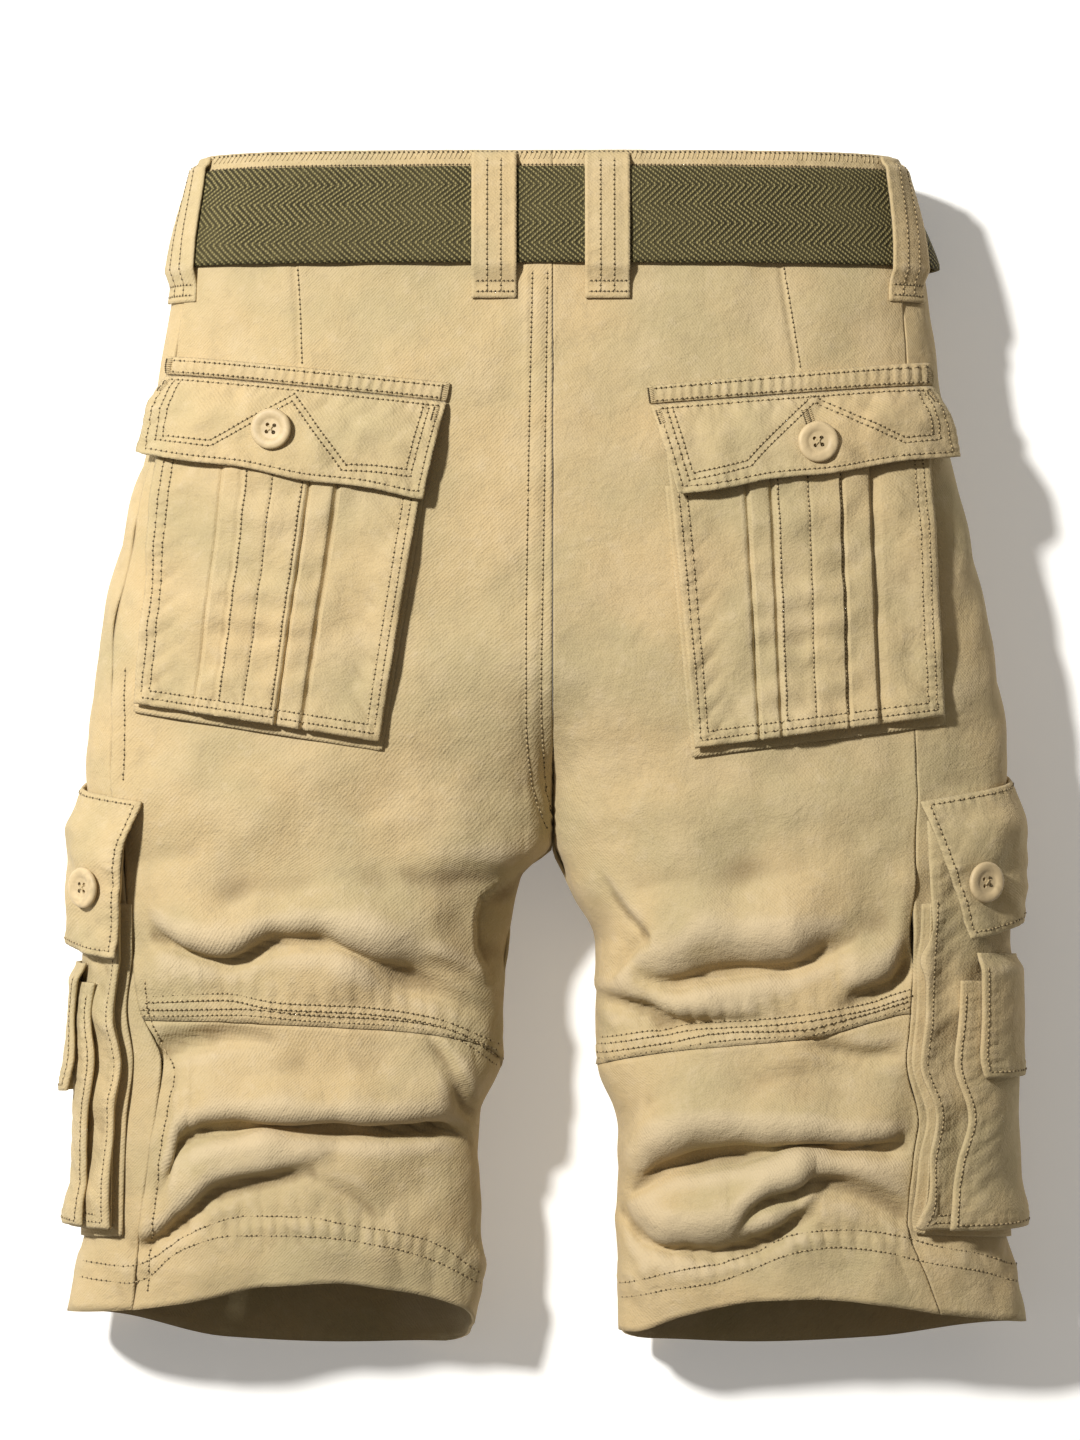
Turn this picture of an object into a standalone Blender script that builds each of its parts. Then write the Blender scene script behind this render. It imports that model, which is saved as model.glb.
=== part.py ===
"""Cargo shorts in cotton twill with a webbing belt, lying on their front and filled out.

Frame: +X to the right as seen from above, +Y towards the waist, +Z up, with the back of the shorts
facing up. The origin is below the middle of the shorts, on the surface that they lie on.
All sizes below are in millimetres and are turned into metres when a mesh is made.
"""

import math

import bmesh
import bpy
import numpy as np

MM = 0.001

# Cloth and gaps
TWILL = 1.5          # panel thickness
BAND_THICK = 3.0     # waistband, two layers and a stiffener
STRAP_THICK = 2.6    # belt webbing
LOOP_THICK = 1.2
SEAM_GAP = 0.3       # between two panels at a seam
CLEAR = 0.3          # between a piece and what it lies on
SKIN_CLEAR = 0.6     # under a patch that lies on a curved panel

# Levels along the body
BAND_TOP = 285.0
BAND_BOTTOM = 240.3
PANEL_TOP = 240.0
BELT_TOP = 276.5
BELT_BOTTOM = 231.0
CROTCH_LEVEL = -43.0
FORK_START = 45.0    # where the seat starts to part into two legs
CENTRE = 5.0         # the centre seam's place across the body

# Heights out from the panels' outer surface
BAND_PROUD = 0.8
BELT_INNER = BAND_PROUD + CLEAR
BELT_OUTER = BELT_INNER + STRAP_THICK
LOOP_INNER = BELT_OUTER + 2 * CLEAR
LOOP_OUTER = LOOP_INNER + LOOP_THICK
FRONT_LIFT = LOOP_OUTER          # the front clears the surface by its belt and loops here
LIFT_FROM, LIFT_TO = 205.0, 229.0

# Roundness of the cross-sections
SEAT_POWER = 2.9
LEG_POWER = 2.5
UNDER_POWER = 2.2
OUTER_CORNER = 58.0
INNER_CORNER = 42.0

# Cuts across each half. level: place along Y. edge: widest point. seam: side seam.
# pocket: back edge of the cargo pocket. inner: inside of the leg. crown: top. side: height of the edge.
SECTION_COLUMNS = ("level", "edge", "seam", "pocket", "inner", "crown", "side")
SECTIONS = {
    "left": (
        (300, -158, -148, -150, 5.0, 83, 44),
        (285, -161, -151, -152, 5.0, 84, 44),
        (240, -173, -163, -165, 5.0, 90, 45),
        (203, -179, -171, -173, 5.0, 93, 46),
        (180, -182, -175, -176, 5.0, 95, 46),
        (151, -187, -181, -182, 5.0, 96, 47),
        (128, -194, -188, -188, 5.0, 97, 47),
        (94, -202, -195, -190, 5.0, 97, 47),
        (51, -211, -203, -190, 5.0, 97, 47),
        (-2, -217, -203, -188, 5.0, 95, 46),
        (-20, -217, -202, -188, 5.0, 94, 46),
        (-43, -216, -199, -192, 5.0, 92, 45),
        (-57, -215, -197, -192, -10.0, 91, 45),
        (-90, -214, -193, -192, -16.5, 90, 44),
        (-120, -213, -189, -195, -20.0, 87, 44),
        (-143, -213, -179, -192, -19.5, 86, 43),
        (-170, -213, -182, -195, -30.0, 86, 43),
        (-190, -214, -185, -196, -31.0, 85, 43),
        (-218, -217, -189, -197, -29.0, 82, 42),
        (-250, -223, -192, -198, -30.0, 78, 40),
        (-272, -227, -194, -199, -33.0, 75, 38),
        (-300, -228, -194, -199, -34.0, 73, 37),
    ),
    "right": (
        (300, 165, 152, 155, 5.0, 83, 44),
        (285, 168, 156, 158, 5.0, 84, 44),
        (240, 180, 166, 168, 5.0, 90, 45),
        (203, 186, 171, 172, 5.0, 93, 46),
        (151, 193, 173, 174, 5.0, 96, 47),
        (94, 206, 174, 175, 5.0, 97, 47),
        (51, 215, 174, 176, 5.0, 97, 47),
        (-2, 221, 175, 177, 5.0, 95, 46),
        (-20, 221, 176, 177.5, 5.0, 94, 46),
        (-43, 220, 175, 177, 5.0, 92, 45),
        (-57, 219, 175, 177, 10.5, 91, 45),
        (-90, 218, 174, 176, 25.0, 90, 44),
        (-120, 218, 173, 175, 25.5, 87, 44),
        (-143, 217, 171, 173, 27.0, 86, 43),
        (-170, 217, 177, 180, 35.5, 86, 43),
        (-190, 218, 174, 176, 38.0, 85, 43),
        (-218, 221, 172, 174, 35.0, 82, 42),
        (-250, 227, 183, 180, 37.0, 78, 40),
        (-272, 231, 190, 186, 37.5, 75, 38),
        (-300, 232, 192, 188, 38.0, 73, 37),
    ),
}

# Where the knee seam and the hem lie. around: 0 at the inside of the leg, 1 at the side seam over the
# back, and 2 at the inside of the leg again, under the front.
EDGE_COLUMNS = ("around", "left", "right")
KNEE_SEAM = (
    (0.0, -149.0, -147.0),
    (0.1, -140.0, -145.0),
    (0.2, -133.5, -142.0),
    (0.35, -129.0, -138.0),
    (0.5, -127.0, -135.5),
    (0.75, -124.5, -131.0),
    (0.9, -124.0, -124.0),
    (1.0, -124.0, -120.5),
    (1.5, -136.0, -134.0),
    (2.0, -149.0, -147.0),
)
HEM = (
    (0.0, -274.0, -274.0),
    (0.12, -261.0, -273.0),
    (0.28, -253.0, -264.0),
    (0.5, -247.5, -256.0),
    (0.65, -249.0, -255.0),
    (0.8, -255.0, -257.0),
    (1.0, -261.0, -263.0),
    (1.15, -265.0, -269.0),
    (1.3, -270.0, -274.0),
    (1.5, -283.0, -283.0),
    (1.7, -285.5, -285.5),
    (1.88, -284.0, -283.0),
    (2.0, -274.0, -274.0),
)

# Folds across the legs. Each row is a point of the fold's crease, from left to right: its place, the
# height of the roll on its waist side, the depth of the crease, and how far the roll's top is from it.
FOLD_COLUMNS = ("x", "y", "roll", "crease", "reach")
FOLDS = {
    "left": (
        ((-186, -82, 0, 0, 9), (-176, -87, 4, 4, 10), (-163, -92, 7, 6, 12), (-147, -95, 7, 6, 13),
         (-123, -87, 6, 4, 13), (-105, -86, 6, 4, 13), (-88, -92, 7, 5, 15), (-71, -101, 7, 5, 19),
         (-53, -109, 6, 4, 23), (-33, -117, 2, 2, 24), (-20, -121, 0, 0, 20)),
        ((-184, -139, 0, 0, 8), (-172, -136, 1, 5, 8), (-155, -132.5, 2, 5, 8), (-134, -131, 0, 2, 8),
         (-118, -133, 0, 0, 8)),
        ((-184, -210, 0, 0, 8), (-176, -198, 2, 2, 9), (-171, -183, 4, 4, 10), (-154, -175, 6, 6, 11),
         (-130, -173, 7, 8, 11), (-109, -174, 7, 9, 11), (-75, -175.5, 7, 10, 11),
         (-49, -175, 6, 9, 11), (-38, -180, 2, 3, 10), (-28, -186, 0, 0, 10)),
        ((-196, -232, 0, 0, 9), (-186, -230, 3, 4, 9), (-170, -220, 4, 5, 10), (-154, -206, 5, 4, 10),
         (-134, -200, 5, 3, 10), (-109, -195, 3, 1, 10), (-96, -193, 0, 0, 10)),
    ),
    "right": (
        ((40, -102, 0, 0, 18), (52, -105.5, 5, 4, 22), (60, -106.5, 8, 6, 23), (79, -102.5, 9, 7, 24),
         (96, -100, 9, 7, 24), (113, -99, 9, 7, 23), (124, -96, 7, 5, 20), (134, -91, 4, 3, 16),
         (150, -84, 0, 0, 12)),
        ((18, -112, 0, 0, 9), (29, -114.5, 3, 3, 9), (49, -119, 5, 5, 10), (64, -126, 5, 5, 12),
         (92, -125.5, 2, 3, 10), (108, -124, 0, 0, 9)),
        ((138, -114, 0, 0, 9), (148, -112, 4, 3, 12), (162, -108, 5, 5, 15), (171, -100, 3, 4, 15),
         (178, -92, 0, 0, 12)),
        ((118, -133, 0, 0, 8), (135, -138, 1, 4, 8), (155, -141, 2, 5, 8), (164, -140, 1, 3, 8),
         (172, -138, 0, 0, 8)),
        ((36, -216, 0, 0, 18), (43, -206, 4, 3, 20), (57, -194.5, 8, 7, 24), (75, -190, 9, 9, 23),
         (102, -186, 8, 9, 18), (127, -181.5, 7, 9, 13), (140, -183, 6, 7, 11), (161, -183, 5, 6, 10),
         (174, -182, 0, 0, 9)),
        ((88, -222, 0, 0, 8), (97, -214.5, 4, 4, 9), (106, -209, 6, 5, 11), (119, -205.5, 6, 5, 12),
         (128, -199.5, 3, 3, 10), (156, -207.5, 4, 3, 12), (171, -217, 2, 2, 12), (182, -224, 0, 0, 9)),
        ((30, -212, 0, 0, 10), (39, -217.5, 3, 3, 12), (47, -227, 5, 6, 16), (60, -233, 7, 7, 20),
         (76, -233.5, 7, 7, 20), (94, -231.5, 6, 7, 17), (107, -227, 5, 7, 12), (119, -219, 3, 5, 8),
         (132, -211, 0, 0, 8)),
    ),
}
CREASE_WIDTH = 5.5
ROLL_BACK = 15.0     # how softly a roll dies away towards the waist

# Steps of the panels' grids
SEAT_LEVELS = (240, 229, 217, 205, 185, 165, 145, 124, 102, 81, 61, 43, 26, 10, -5, -19, -32, -44,
               -55, -65, -74, -82, -89, -96, -103, -110, -117, -122, -127)
SHIN_LEVELS = (-127, -132, -138, -145, -152, -159, -166, -172, -178, -184, -191, -198, -205, -212,
               -219, -226, -233, -240, -247.5)
# A front has fewer rows than the backs that it is sewn to
FRONT_SEAT_LEVELS = (240, 229, 217, 205, 165, 124, 81, 43, 10, -19, -44, -65, -82, -96, -110, -127)
FRONT_SHIN_LEVELS = (-138, -152, -166, -178, -191, -205, -219, -233, -247.5)
BACK_STEPS = (0, 0.04, 0.1, 0.17, 0.25, 0.34, 0.43, 0.52, 0.61, 0.7, 0.79, 0.87, 0.94, 1)
FRONT_STEPS = (1, 1.05, 1.11, 1.17, 1.23, 1.29, 1.36, 1.46, 1.76, 1.86, 1.93, 2)
BAND_STEPS = (0, 0.3, 0.55, 0.73, 0.84, 0.92, 0.98, 1.04, 1.1, 1.16, 1.22, 1.28, 1.36, 1.5, 2)
BAND_LEVELS = (BAND_BOTTOM, 255, 270, BAND_TOP)
BELT_LEVELS = (BELT_BOTTOM, 240.3, 255, BELT_TOP)
TRIM = 0.0009        # half a seam gap, as a share of a panel's girth

# Belt loops: how a loop leaves the band, passes over the belt and comes down on the seat
LOOP_WIDTH = 21.0
LOOP_COLUMNS = ("level", "out")
LOOP_RUN = ((283.5, BELT_INNER), (280.8, 1.7), (277.6, LOOP_INNER), (262, LOOP_INNER),
            (246, LOOP_INNER), (230, LOOP_INNER), (226, 2.4), (222, SKIN_CLEAR), (214.5, SKIN_CLEAR))
# laid: on the top by x, on the side by the run from the pocket's back edge, or on the underside by x.
# top and foot: where the middle of the loop lies there
LOOPS = (
    ("loop_back_left", "left", "top", -22.5, -22.5),
    ("loop_back_right", "right", "top", 30.5, 30.5),
    ("loop_side_left", "left", "side", 15.0, 0.0),
    ("loop_side_right", "right", "side", 11.5, 1.0),
    ("loop_front_left", "left", "under", -82.0, -82.0),
    ("loop_front_right", "right", "under", 92.0, 92.0),
)

# Buckle, a plain clamp plate where the belt's ends meet
BUCKLE = {"width": 46.0, "height": 45.0, "thick": 3.6, "corner": 3.0}

# Patches. corners: top start, top end, bottom start, bottom end. On the top they are (x, y), on the
# side (run outwards from the pocket's back edge, y).
PATCHES = {
    "back_pocket_left": ("left", "top", ((-178, 170), (-49, 157), (-191.5, 21), (-74.5, 3))),
    "back_flap_left": ("left", "top", ((-176, 180), (-44.5, 165.7), (-184, 141), (-55.3, 120.5))),
    "back_welt_left": ("left", "top", ((-175, 189), (-43, 174.6), (-176, 181), (-44.5, 166.4))),
    "back_pocket_right": ("right", "top", ((54, 158), (180, 168), (70, 0), (189, 15))),
    "back_flap_right": ("right", "top", ((50.3, 164.3), (183, 174.8), (63, 122), (189.5, 140.5))),
    "back_welt_right": ("right", "top", ((49, 173.2), (182, 186), (50, 165.2), (183, 175.8))),
    "cargo_pocket_left": ("left", "side", ((0, -30), (78, -20), (0, -226), (78, -232))),
    "cargo_flap_left": ("left", "side", ((-1, -20.7), (78, -10), (1, -93), (78, -85))),
    "small_pocket_left": ("left", "side", ((14, -106), (68, -107), (14, -222), (68, -227))),
    "small_flap_left": ("left", "side", ((22, -97), (66, -98), (22, -158), (66, -162))),
    "cargo_pocket_right": ("right", "side", ((0, -30), (98, -16), (0, -224), (98, -232))),
    "cargo_flap_right": ("right", "side", ((-1, -20.7), (100, -5), (19, -84.5), (100, -70))),
    "small_pocket_right": ("right", "side", ((18, -104), (90, -107), (14, -221), (90, -227))),
    "small_flap_right": ("right", "side", ((26, -91.5), (92, -96), (28, -151), (92, -152))),
}

# The bellows' cross-section round the open end of its fold: place in from the pocket's edge (the upper
# arm moves in with the face), height out, and 1 where a corner belongs to the upper arm.
BELLOWS_COLUMNS = ("inset", "out", "upper")
BELLOWS = ((0, 0.6, 0), (7, 2.1, 0), (7, 3.0, 0), (0.4, 4.7, 1), (0.4, 3.6, 1), (5.2, 2.5, 0), (0, 1.7, 0))
GUSSET_STEPS = {"back": (5, 5), "cargo": (9, 9)}
FACE_INSET_SIDE = 2.0
FACE_INSET_FOOT = 4.2
FACE_THICK = 1.6
FLAP_THICK = 2.0

# Face heights down a pocket, and flap heights down a flap
DOWN_COLUMNS = ("down", "back", "cargo")
FACE_UNDER = ((0.0, 1.5, 2.0), (0.1, 3.2, 5.0), (0.35, 3.5, 5.6), (0.6, 3.7, 5.6), (1.0, 3.9, 6.0))
FACE_EDGE = 5.8      # height of a back pocket's face along its bellows
SMALL_FLAP_LIFT = {"left": 6.0, "right": 2.2}
CARGO_SCALE = 1.75   # a cargo pocket's bellows against a back pocket's
FRONT_SLOPE = 0.45   # how much lower a cargo pocket lies at its front edge
FLAP_UNDER = ((0.0, 1.0, 1.0), (0.12, 3.2, 4.6), (0.25, 5.4, 9.0), (0.4, 7.4, 10.9), (0.7, 8.2, 11.4),
              (1.0, 8.4, 11.8))

# Box pleat of the back pockets' faces: place across the face, and height over it
PLEAT_COLUMNS = ("across", "height")
PLEATS = {
    "left": ((0, 0), (0.06, 0), (0.15, 0), (0.243, 0), (0.262, 1.0), (0.325, 1.0), (0.34, 2.0),
             (0.448, 2.1), (0.562, 2.0), (0.582, 0.6), (0.668, 0.5), (0.683, -0.5), (0.7, 0.5),
             (0.82, 0.2), (0.93, 0), (1, 0)),
    "right": ((0, 0), (0.08, 0), (0.19, 0.2), (0.272, 0.5), (0.29, -0.4), (0.306, 0.7), (0.37, 0.8),
              (0.388, 2.0), (0.51, 2.1), (0.64, 2.0), (0.66, 1.0), (0.742, 1.0), (0.76, -0.4),
              (0.78, 0.4), (0.9, 0), (1, 0)),
}

# Buttons: the flap, and the place across and down it
BUTTONS = (
    ("back_button_left", "back_flap_left", "back", 0.43, 0.52),
    ("back_button_right", "back_flap_right", "back", 0.53, 0.62),
    ("cargo_button_left", "cargo_flap_left", "cargo", 0.20, 0.58),
    ("cargo_button_right", "cargo_flap_right", "cargo", 0.15, 0.62),
)
BUTTON_RADIUS = 9.6
BUTTON_COLUMNS = ("radius", "height")
BUTTON_PROFILE = ((0, 0), (8.6, 0), (9.6, 0.9), (9.2, 2.3), (8.2, 2.8), (5.4, 2.6), (4.4, 1.9), (0, 1.9))

KHAKI = (0.62, 0.50, 0.31)
POCKET_KHAKI = (0.60, 0.48, 0.30)
OLIVE = (0.14, 0.12, 0.06)
BUTTON_TAN = (0.48, 0.38, 0.25)
STEEL = (0.35, 0.34, 0.31)


def smooth(places, values, at):
    """A curve through the values that never overshoots between two of them."""
    places = np.asarray(places, float)
    values = np.asarray(values, float)
    at = np.clip(np.asarray(at, float), places[0], places[-1])
    gap = np.diff(places)
    rise = np.diff(values) / gap
    slope = np.zeros_like(values)
    slope[0], slope[-1] = rise[0], rise[-1]
    before, after = rise[:-1], rise[1:]
    turn = before * after > 0
    slope[1:-1][turn] = 2 * before[turn] * after[turn] / (before[turn] + after[turn])
    i = np.clip(np.searchsorted(places, at, side="right") - 1, 0, len(places) - 2)
    u = (at - places[i]) / gap[i]
    return (values[i] * (1 + 2 * u) * (1 - u) ** 2 + values[i + 1] * u * u * (3 - 2 * u)
            + gap[i] * (slope[i] * u * (1 - u) ** 2 - slope[i + 1] * u * u * (1 - u)))


def column(rows, columns, name, at):
    """A table's named column, read between its rows by the first column."""
    index = columns.index(name)
    rows = sorted(rows)
    return smooth([row[0] for row in rows], [row[index] for row in rows], at)


def ease(value):
    """A soft step from 0 to 1."""
    value = np.clip(value, 0.0, 1.0)
    return value * value * (3 - 2 * value)


def arc(turn, power):
    """A point on a rounded-square arc of size 1."""
    across, up = np.cos(turn), np.sin(turn)
    return np.sign(across) * np.abs(across) ** (2 / power), np.abs(up) ** (2 / power)


TOP_STEPS, UNDER_STEPS = 80, 120
AROUND = np.concatenate([np.linspace(0, 1, TOP_STEPS + 1), np.linspace(1, 2, UNDER_STEPS + 1)[1:]])
LEVELS = np.arange(-296.0, 297.0, 2.0)


def evenly(x, z, steps):
    """The same line with its points at even distances."""
    run = np.concatenate([[0], np.cumsum(np.hypot(np.diff(x), np.diff(z)))])
    at = np.linspace(0, run[-1], steps + 1)
    return np.interp(at, run, x), np.interp(at, run, z)


def half_section(start, edge, seam, crown, side, low, power, closed):
    """One half of the seat (start is its centre) or one whole leg (start is its inside)."""
    middle = (start + edge) / 2 if closed else start
    half = edge - middle
    reach = abs((seam - middle) / half)
    at_seam = math.acos(min(0.999, reach ** (power / 2)))
    first = math.pi if closed else math.pi / 2
    across, up = arc(np.linspace(first, at_seam, 200), power)
    top = evenly(middle + half * across, side + (crown - side) * up, TOP_STEPS)
    across, up = arc(np.linspace(at_seam, 0, 60), power)
    line = [(middle + half * across, side + (crown - side) * up)]
    sign = math.copysign(1, half)
    across, up = arc(np.linspace(0, math.pi / 2, 80), UNDER_POWER)
    line.append((edge - sign * OUTER_CORNER * (1 - across), low + (side - low) * (1 - up)))
    if closed:
        across, up = arc(np.linspace(math.pi / 2, 0, 80), UNDER_POWER)
        line.append((start + sign * INNER_CORNER * (1 - across), low + (side - low) * (1 - up)))
    else:
        line.append((np.array([start]), np.array([low])))
    under = evenly(np.concatenate([p[0] for p in line]), np.concatenate([p[1] for p in line]),
                   UNDER_STEPS)
    return np.stack([np.concatenate([top[0], under[0][1:]]), np.concatenate([top[1], under[1][1:]])])


def section(side, level):
    """The cut across one half at a level: a row of (x, z) for each step of AROUND."""
    value = {name: float(column(SECTIONS[side], SECTION_COLUMNS, name, level))
             for name in SECTION_COLUMNS[1:]}
    low = FRONT_LIFT * float(ease((level - LIFT_FROM) / (LIFT_TO - LIFT_FROM)))
    fork = float(ease((FORK_START - level) / (FORK_START - CROTCH_LEVEL)))
    shape = (value["edge"], value["seam"], value["crown"], value["side"], low)
    seat = half_section(CENTRE, *shape, SEAT_POWER, False)
    leg = half_section(value["inner"], *shape, LEG_POWER, True)
    return seat * (1 - fork) + leg * fork


BODY = {side: np.array([section(side, level) for level in LEVELS]) for side in SECTIONS}


def rows_at(side, level):
    """The two rows of BODY round a level, and how far the level is from the first."""
    at = np.clip((level - LEVELS[0]) / (LEVELS[1] - LEVELS[0]), 0, len(LEVELS) - 1.001)
    low = np.floor(at).astype(int)
    return BODY[side][low], BODY[side][low + 1], at - low


def bare(side, around, level):
    """Points (x, y, z) of the filled-out body without its folds."""
    around, level = np.broadcast_arrays(np.asarray(around, float), np.asarray(level, float))
    at = np.interp(around, AROUND, np.arange(len(AROUND)))
    at = np.clip(at, 0, len(AROUND) - 1.001)
    low = np.floor(at).astype(int)
    part = at - low
    below = np.clip((level - LEVELS[0]) / (LEVELS[1] - LEVELS[0]), 0, len(LEVELS) - 1.001)
    row = np.floor(below).astype(int)
    mix = below - row
    points = []
    for axis in (0, 1):
        table = BODY[side][:, axis, :]
        here = table[row, low] * (1 - part) + table[row, low + 1] * part
        next_row = table[row + 1, low] * (1 - part) + table[row + 1, low + 1] * part
        points.append(here * (1 - mix) + next_row * mix)
    return np.stack([points[0], level, points[1]], axis=-1)


def crease_line(rows):
    """A fold's rows, read at close steps along the crease."""
    rows = np.array(rows, float)
    run = np.concatenate([[0], np.cumsum(np.hypot(np.diff(rows[:, 0]), np.diff(rows[:, 1])))])
    at = np.linspace(0, run[-1], 4 * len(rows))
    return np.stack([smooth(run, rows[:, i], at) for i in range(rows.shape[1])], axis=1)


CREASES = {side: [crease_line(rows) for rows in FOLDS[side]] for side in FOLDS}


def fold_height(side, x, y):
    """How far the folds lift or sink the cloth at a place on the back of the leg."""
    total = np.zeros(np.shape(x))
    for line in CREASES[side]:
        nearest = np.full(np.shape(x), np.inf)
        shape = [np.zeros(np.shape(x)) for _ in range(4)]
        for a, b in zip(line[:-1], line[1:]):
            run = b[:2] - a[:2]
            u = np.clip(((x - a[0]) * run[0] + (y - a[1]) * run[1]) / (run @ run), 0, 1)
            dx, dy = x - a[0] - u * run[0], y - a[1] - u * run[1]
            away = np.hypot(dx, dy)
            signed = np.where(run[0] * dy - run[1] * dx >= 0, away, -away)
            here = [signed] + [a[i] + (b[i] - a[i]) * u for i in (2, 3, 4)]
            closer = away < nearest
            nearest = np.where(closer, away, nearest)
            shape = [np.where(closer, new, old) for new, old in zip(here, shape)]
        away, roll, crease, reach = shape
        beyond = away - reach
        width = np.where(beyond > 0, ROLL_BACK, np.maximum(0.55 * reach, 4.0))
        total += roll * np.exp(-(beyond / width) ** 2) - crease * np.exp(-(away / CREASE_WIDTH) ** 2)
    return total


def skin(side, around, level):
    """Points of the panels' outer surface, folds and all."""
    points = bare(side, around, level)
    value = column(SECTIONS[side], SECTION_COLUMNS, "side", points[..., 1])
    crown = column(SECTIONS[side], SECTION_COLUMNS, "crown", points[..., 1])
    share = ease((points[..., 2] - value) / (0.55 * (crown - value)))
    share = np.where(np.asarray(around) < 1.35, share, 0.0)
    points[..., 2] += share * fold_height(side, points[..., 0], points[..., 1])
    return points


def outward(side, around, level):
    """The outer surface's direction at its points."""
    step_around, step_level = 0.004, 0.8
    across = (skin(side, np.clip(around + step_around, 0, 2), level)
              - skin(side, np.clip(around - step_around, 0, 2), level))
    along = skin(side, around, level + step_level) - skin(side, around, level - step_level)
    normal = np.cross(across, along)
    if side == "left":
        normal = -normal
    return normal / np.linalg.norm(normal, axis=-1, keepdims=True)


def moved_out(side, around, level, out):
    """Points at a height out from the outer surface, or under it where out is negative."""
    around, level, out = np.broadcast_arrays(*(np.asarray(v, float) for v in (around, level, out)))
    return skin(side, around, level) + outward(side, around, level) * out[..., None]


def row_at(side, level):
    """One cut, read between two rows of BODY."""
    at = float(np.clip((level - LEVELS[0]) / (LEVELS[1] - LEVELS[0]), 0, len(LEVELS) - 1.001))
    low = int(at)
    return BODY[side][low] * (1 - at + low) + BODY[side][low + 1] * (at - low)


def top_around(side, x, level):
    """Where a place x on the back lies round the cut."""
    row = row_at(side, level)
    out = row[0] * (1 if side == "right" else -1)
    edge = int(np.argmax(out))
    return float(np.interp(x * (1 if side == "right" else -1), out[:edge + 1], AROUND[:edge + 1]))


def under_around(side, x, level):
    """Where a place x on the underside lies round the cut."""
    row = row_at(side, level)
    out = row[0] * (1 if side == "right" else -1)
    edge = int(np.argmax(out))
    return float(np.interp(x * (1 if side == "right" else -1), out[edge:][::-1], AROUND[edge:][::-1]))


def side_around(side, run, level):
    """Where a place at a run outwards from the cargo pocket's back edge lies round the cut."""
    row = row_at(side, level)
    length = np.concatenate([[0], np.cumsum(np.hypot(np.diff(row[0]), np.diff(row[1])))])
    edge = top_around(side, float(column(SECTIONS[side], SECTION_COLUMNS, "pocket", level)), level)
    start = float(np.interp(edge, AROUND, length))
    return float(np.interp(start + run, length, AROUND))


FINDERS = {"top": top_around, "under": under_around, "side": side_around}


def place(patch, across, down, out):
    """Points of a patch at shares across and down it, at a height out from the panel."""
    side, laid, corners = PATCHES[patch]
    across, down, out = np.broadcast_arrays(*(np.asarray(v, float) for v in (across, down, out)))
    start, end, foot_start, foot_end = (np.array(corner, float) for corner in corners)
    a, b = across[..., None], down[..., None]
    spot = (1 - b) * ((1 - a) * start + a * end) + b * ((1 - a) * foot_start + a * foot_end)
    around = np.array([FINDERS[laid](side, x, y) for x, y in spot.reshape(-1, 2)])
    return moved_out(side, around.reshape(across.shape), spot[..., 1], out)


def patch_size(patch):
    """A patch's width and height."""
    start, end, foot_start, foot_end = (np.array(corner, float) for corner in PATCHES[patch][2])
    width = (np.linalg.norm(end - start) + np.linalg.norm(foot_end - foot_start)) / 2
    height = (np.linalg.norm(foot_start - start) + np.linalg.norm(foot_end - end)) / 2
    return width, height


def material(name, colour, roughness, metallic=0.0):
    made = bpy.data.materials.new(name)
    made.use_nodes = True
    shader = made.node_tree.nodes["Principled BSDF"]
    shader.inputs["Base Color"].default_value = (*colour, 1)
    shader.inputs["Roughness"].default_value = roughness
    shader.inputs["Metallic"].default_value = metallic
    return made


def finish(name, mesh, colour, roughness=0.9, metallic=0.0):
    """Turns a bmesh in millimetres into a named object."""
    bmesh.ops.recalc_face_normals(mesh, faces=mesh.faces)
    if mesh.calc_volume(signed=True) < 0:
        bmesh.ops.reverse_faces(mesh, faces=mesh.faces)
    bmesh.ops.scale(mesh, vec=(MM, MM, MM), verts=mesh.verts)
    data = bpy.data.meshes.new(name)
    mesh.to_mesh(data)
    mesh.free()
    data.materials.append(material(name, colour, roughness, metallic))
    piece = bpy.data.objects.new(name, data)
    bpy.context.scene.collection.objects.link(piece)
    return piece


def wall(name, outer, inner, colour, ring=False):
    """A closed wall between two grids of points. A ring's last column joins its first."""
    mesh = bmesh.new()
    grids = [[[mesh.verts.new(point) for point in row] for row in grid] for grid in (outer, inner)]
    rows, columns = len(outer), len(outer[0])
    across = [(j, (j + 1) % columns) for j in range(columns if ring else columns - 1)]
    for grid in grids:
        for i in range(rows - 1):
            for j, k in across:
                mesh.faces.new((grid[i][j], grid[i][k], grid[i + 1][k], grid[i + 1][j]))
    out, back = grids
    for i in (0, rows - 1):
        for j, k in across:
            mesh.faces.new((out[i][j], out[i][k], back[i][k], back[i][j]))
    if not ring:
        for j in (0, columns - 1):
            for i in range(rows - 1):
                mesh.faces.new((out[i][j], out[i + 1][j], back[i + 1][j], back[i][j]))
    return finish(name, mesh, colour)


def edge_level(table, side, around):
    return column(table, EDGE_COLUMNS, side, around)


def seat_level(side, around, step):
    """A seat row's level: the rows close up evenly on the slanting knee seam."""
    share = (PANEL_TOP - step) / (PANEL_TOP - SEAT_LEVELS[-1])
    return PANEL_TOP + (edge_level(KNEE_SEAM, side, around) - PANEL_TOP) * share


def shin_level(side, around, step):
    share = (step - SHIN_LEVELS[0]) / (SHIN_LEVELS[-1] - SHIN_LEVELS[0])
    knee = edge_level(KNEE_SEAM, side, around)
    return knee + (edge_level(HEM, side, around) - knee) * share


def trimmed(steps):
    """Steps round a panel, held back by half a seam gap at both ends."""
    around = np.array(steps, float)
    around[0] += TRIM
    around[-1] -= TRIM
    return around


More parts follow.
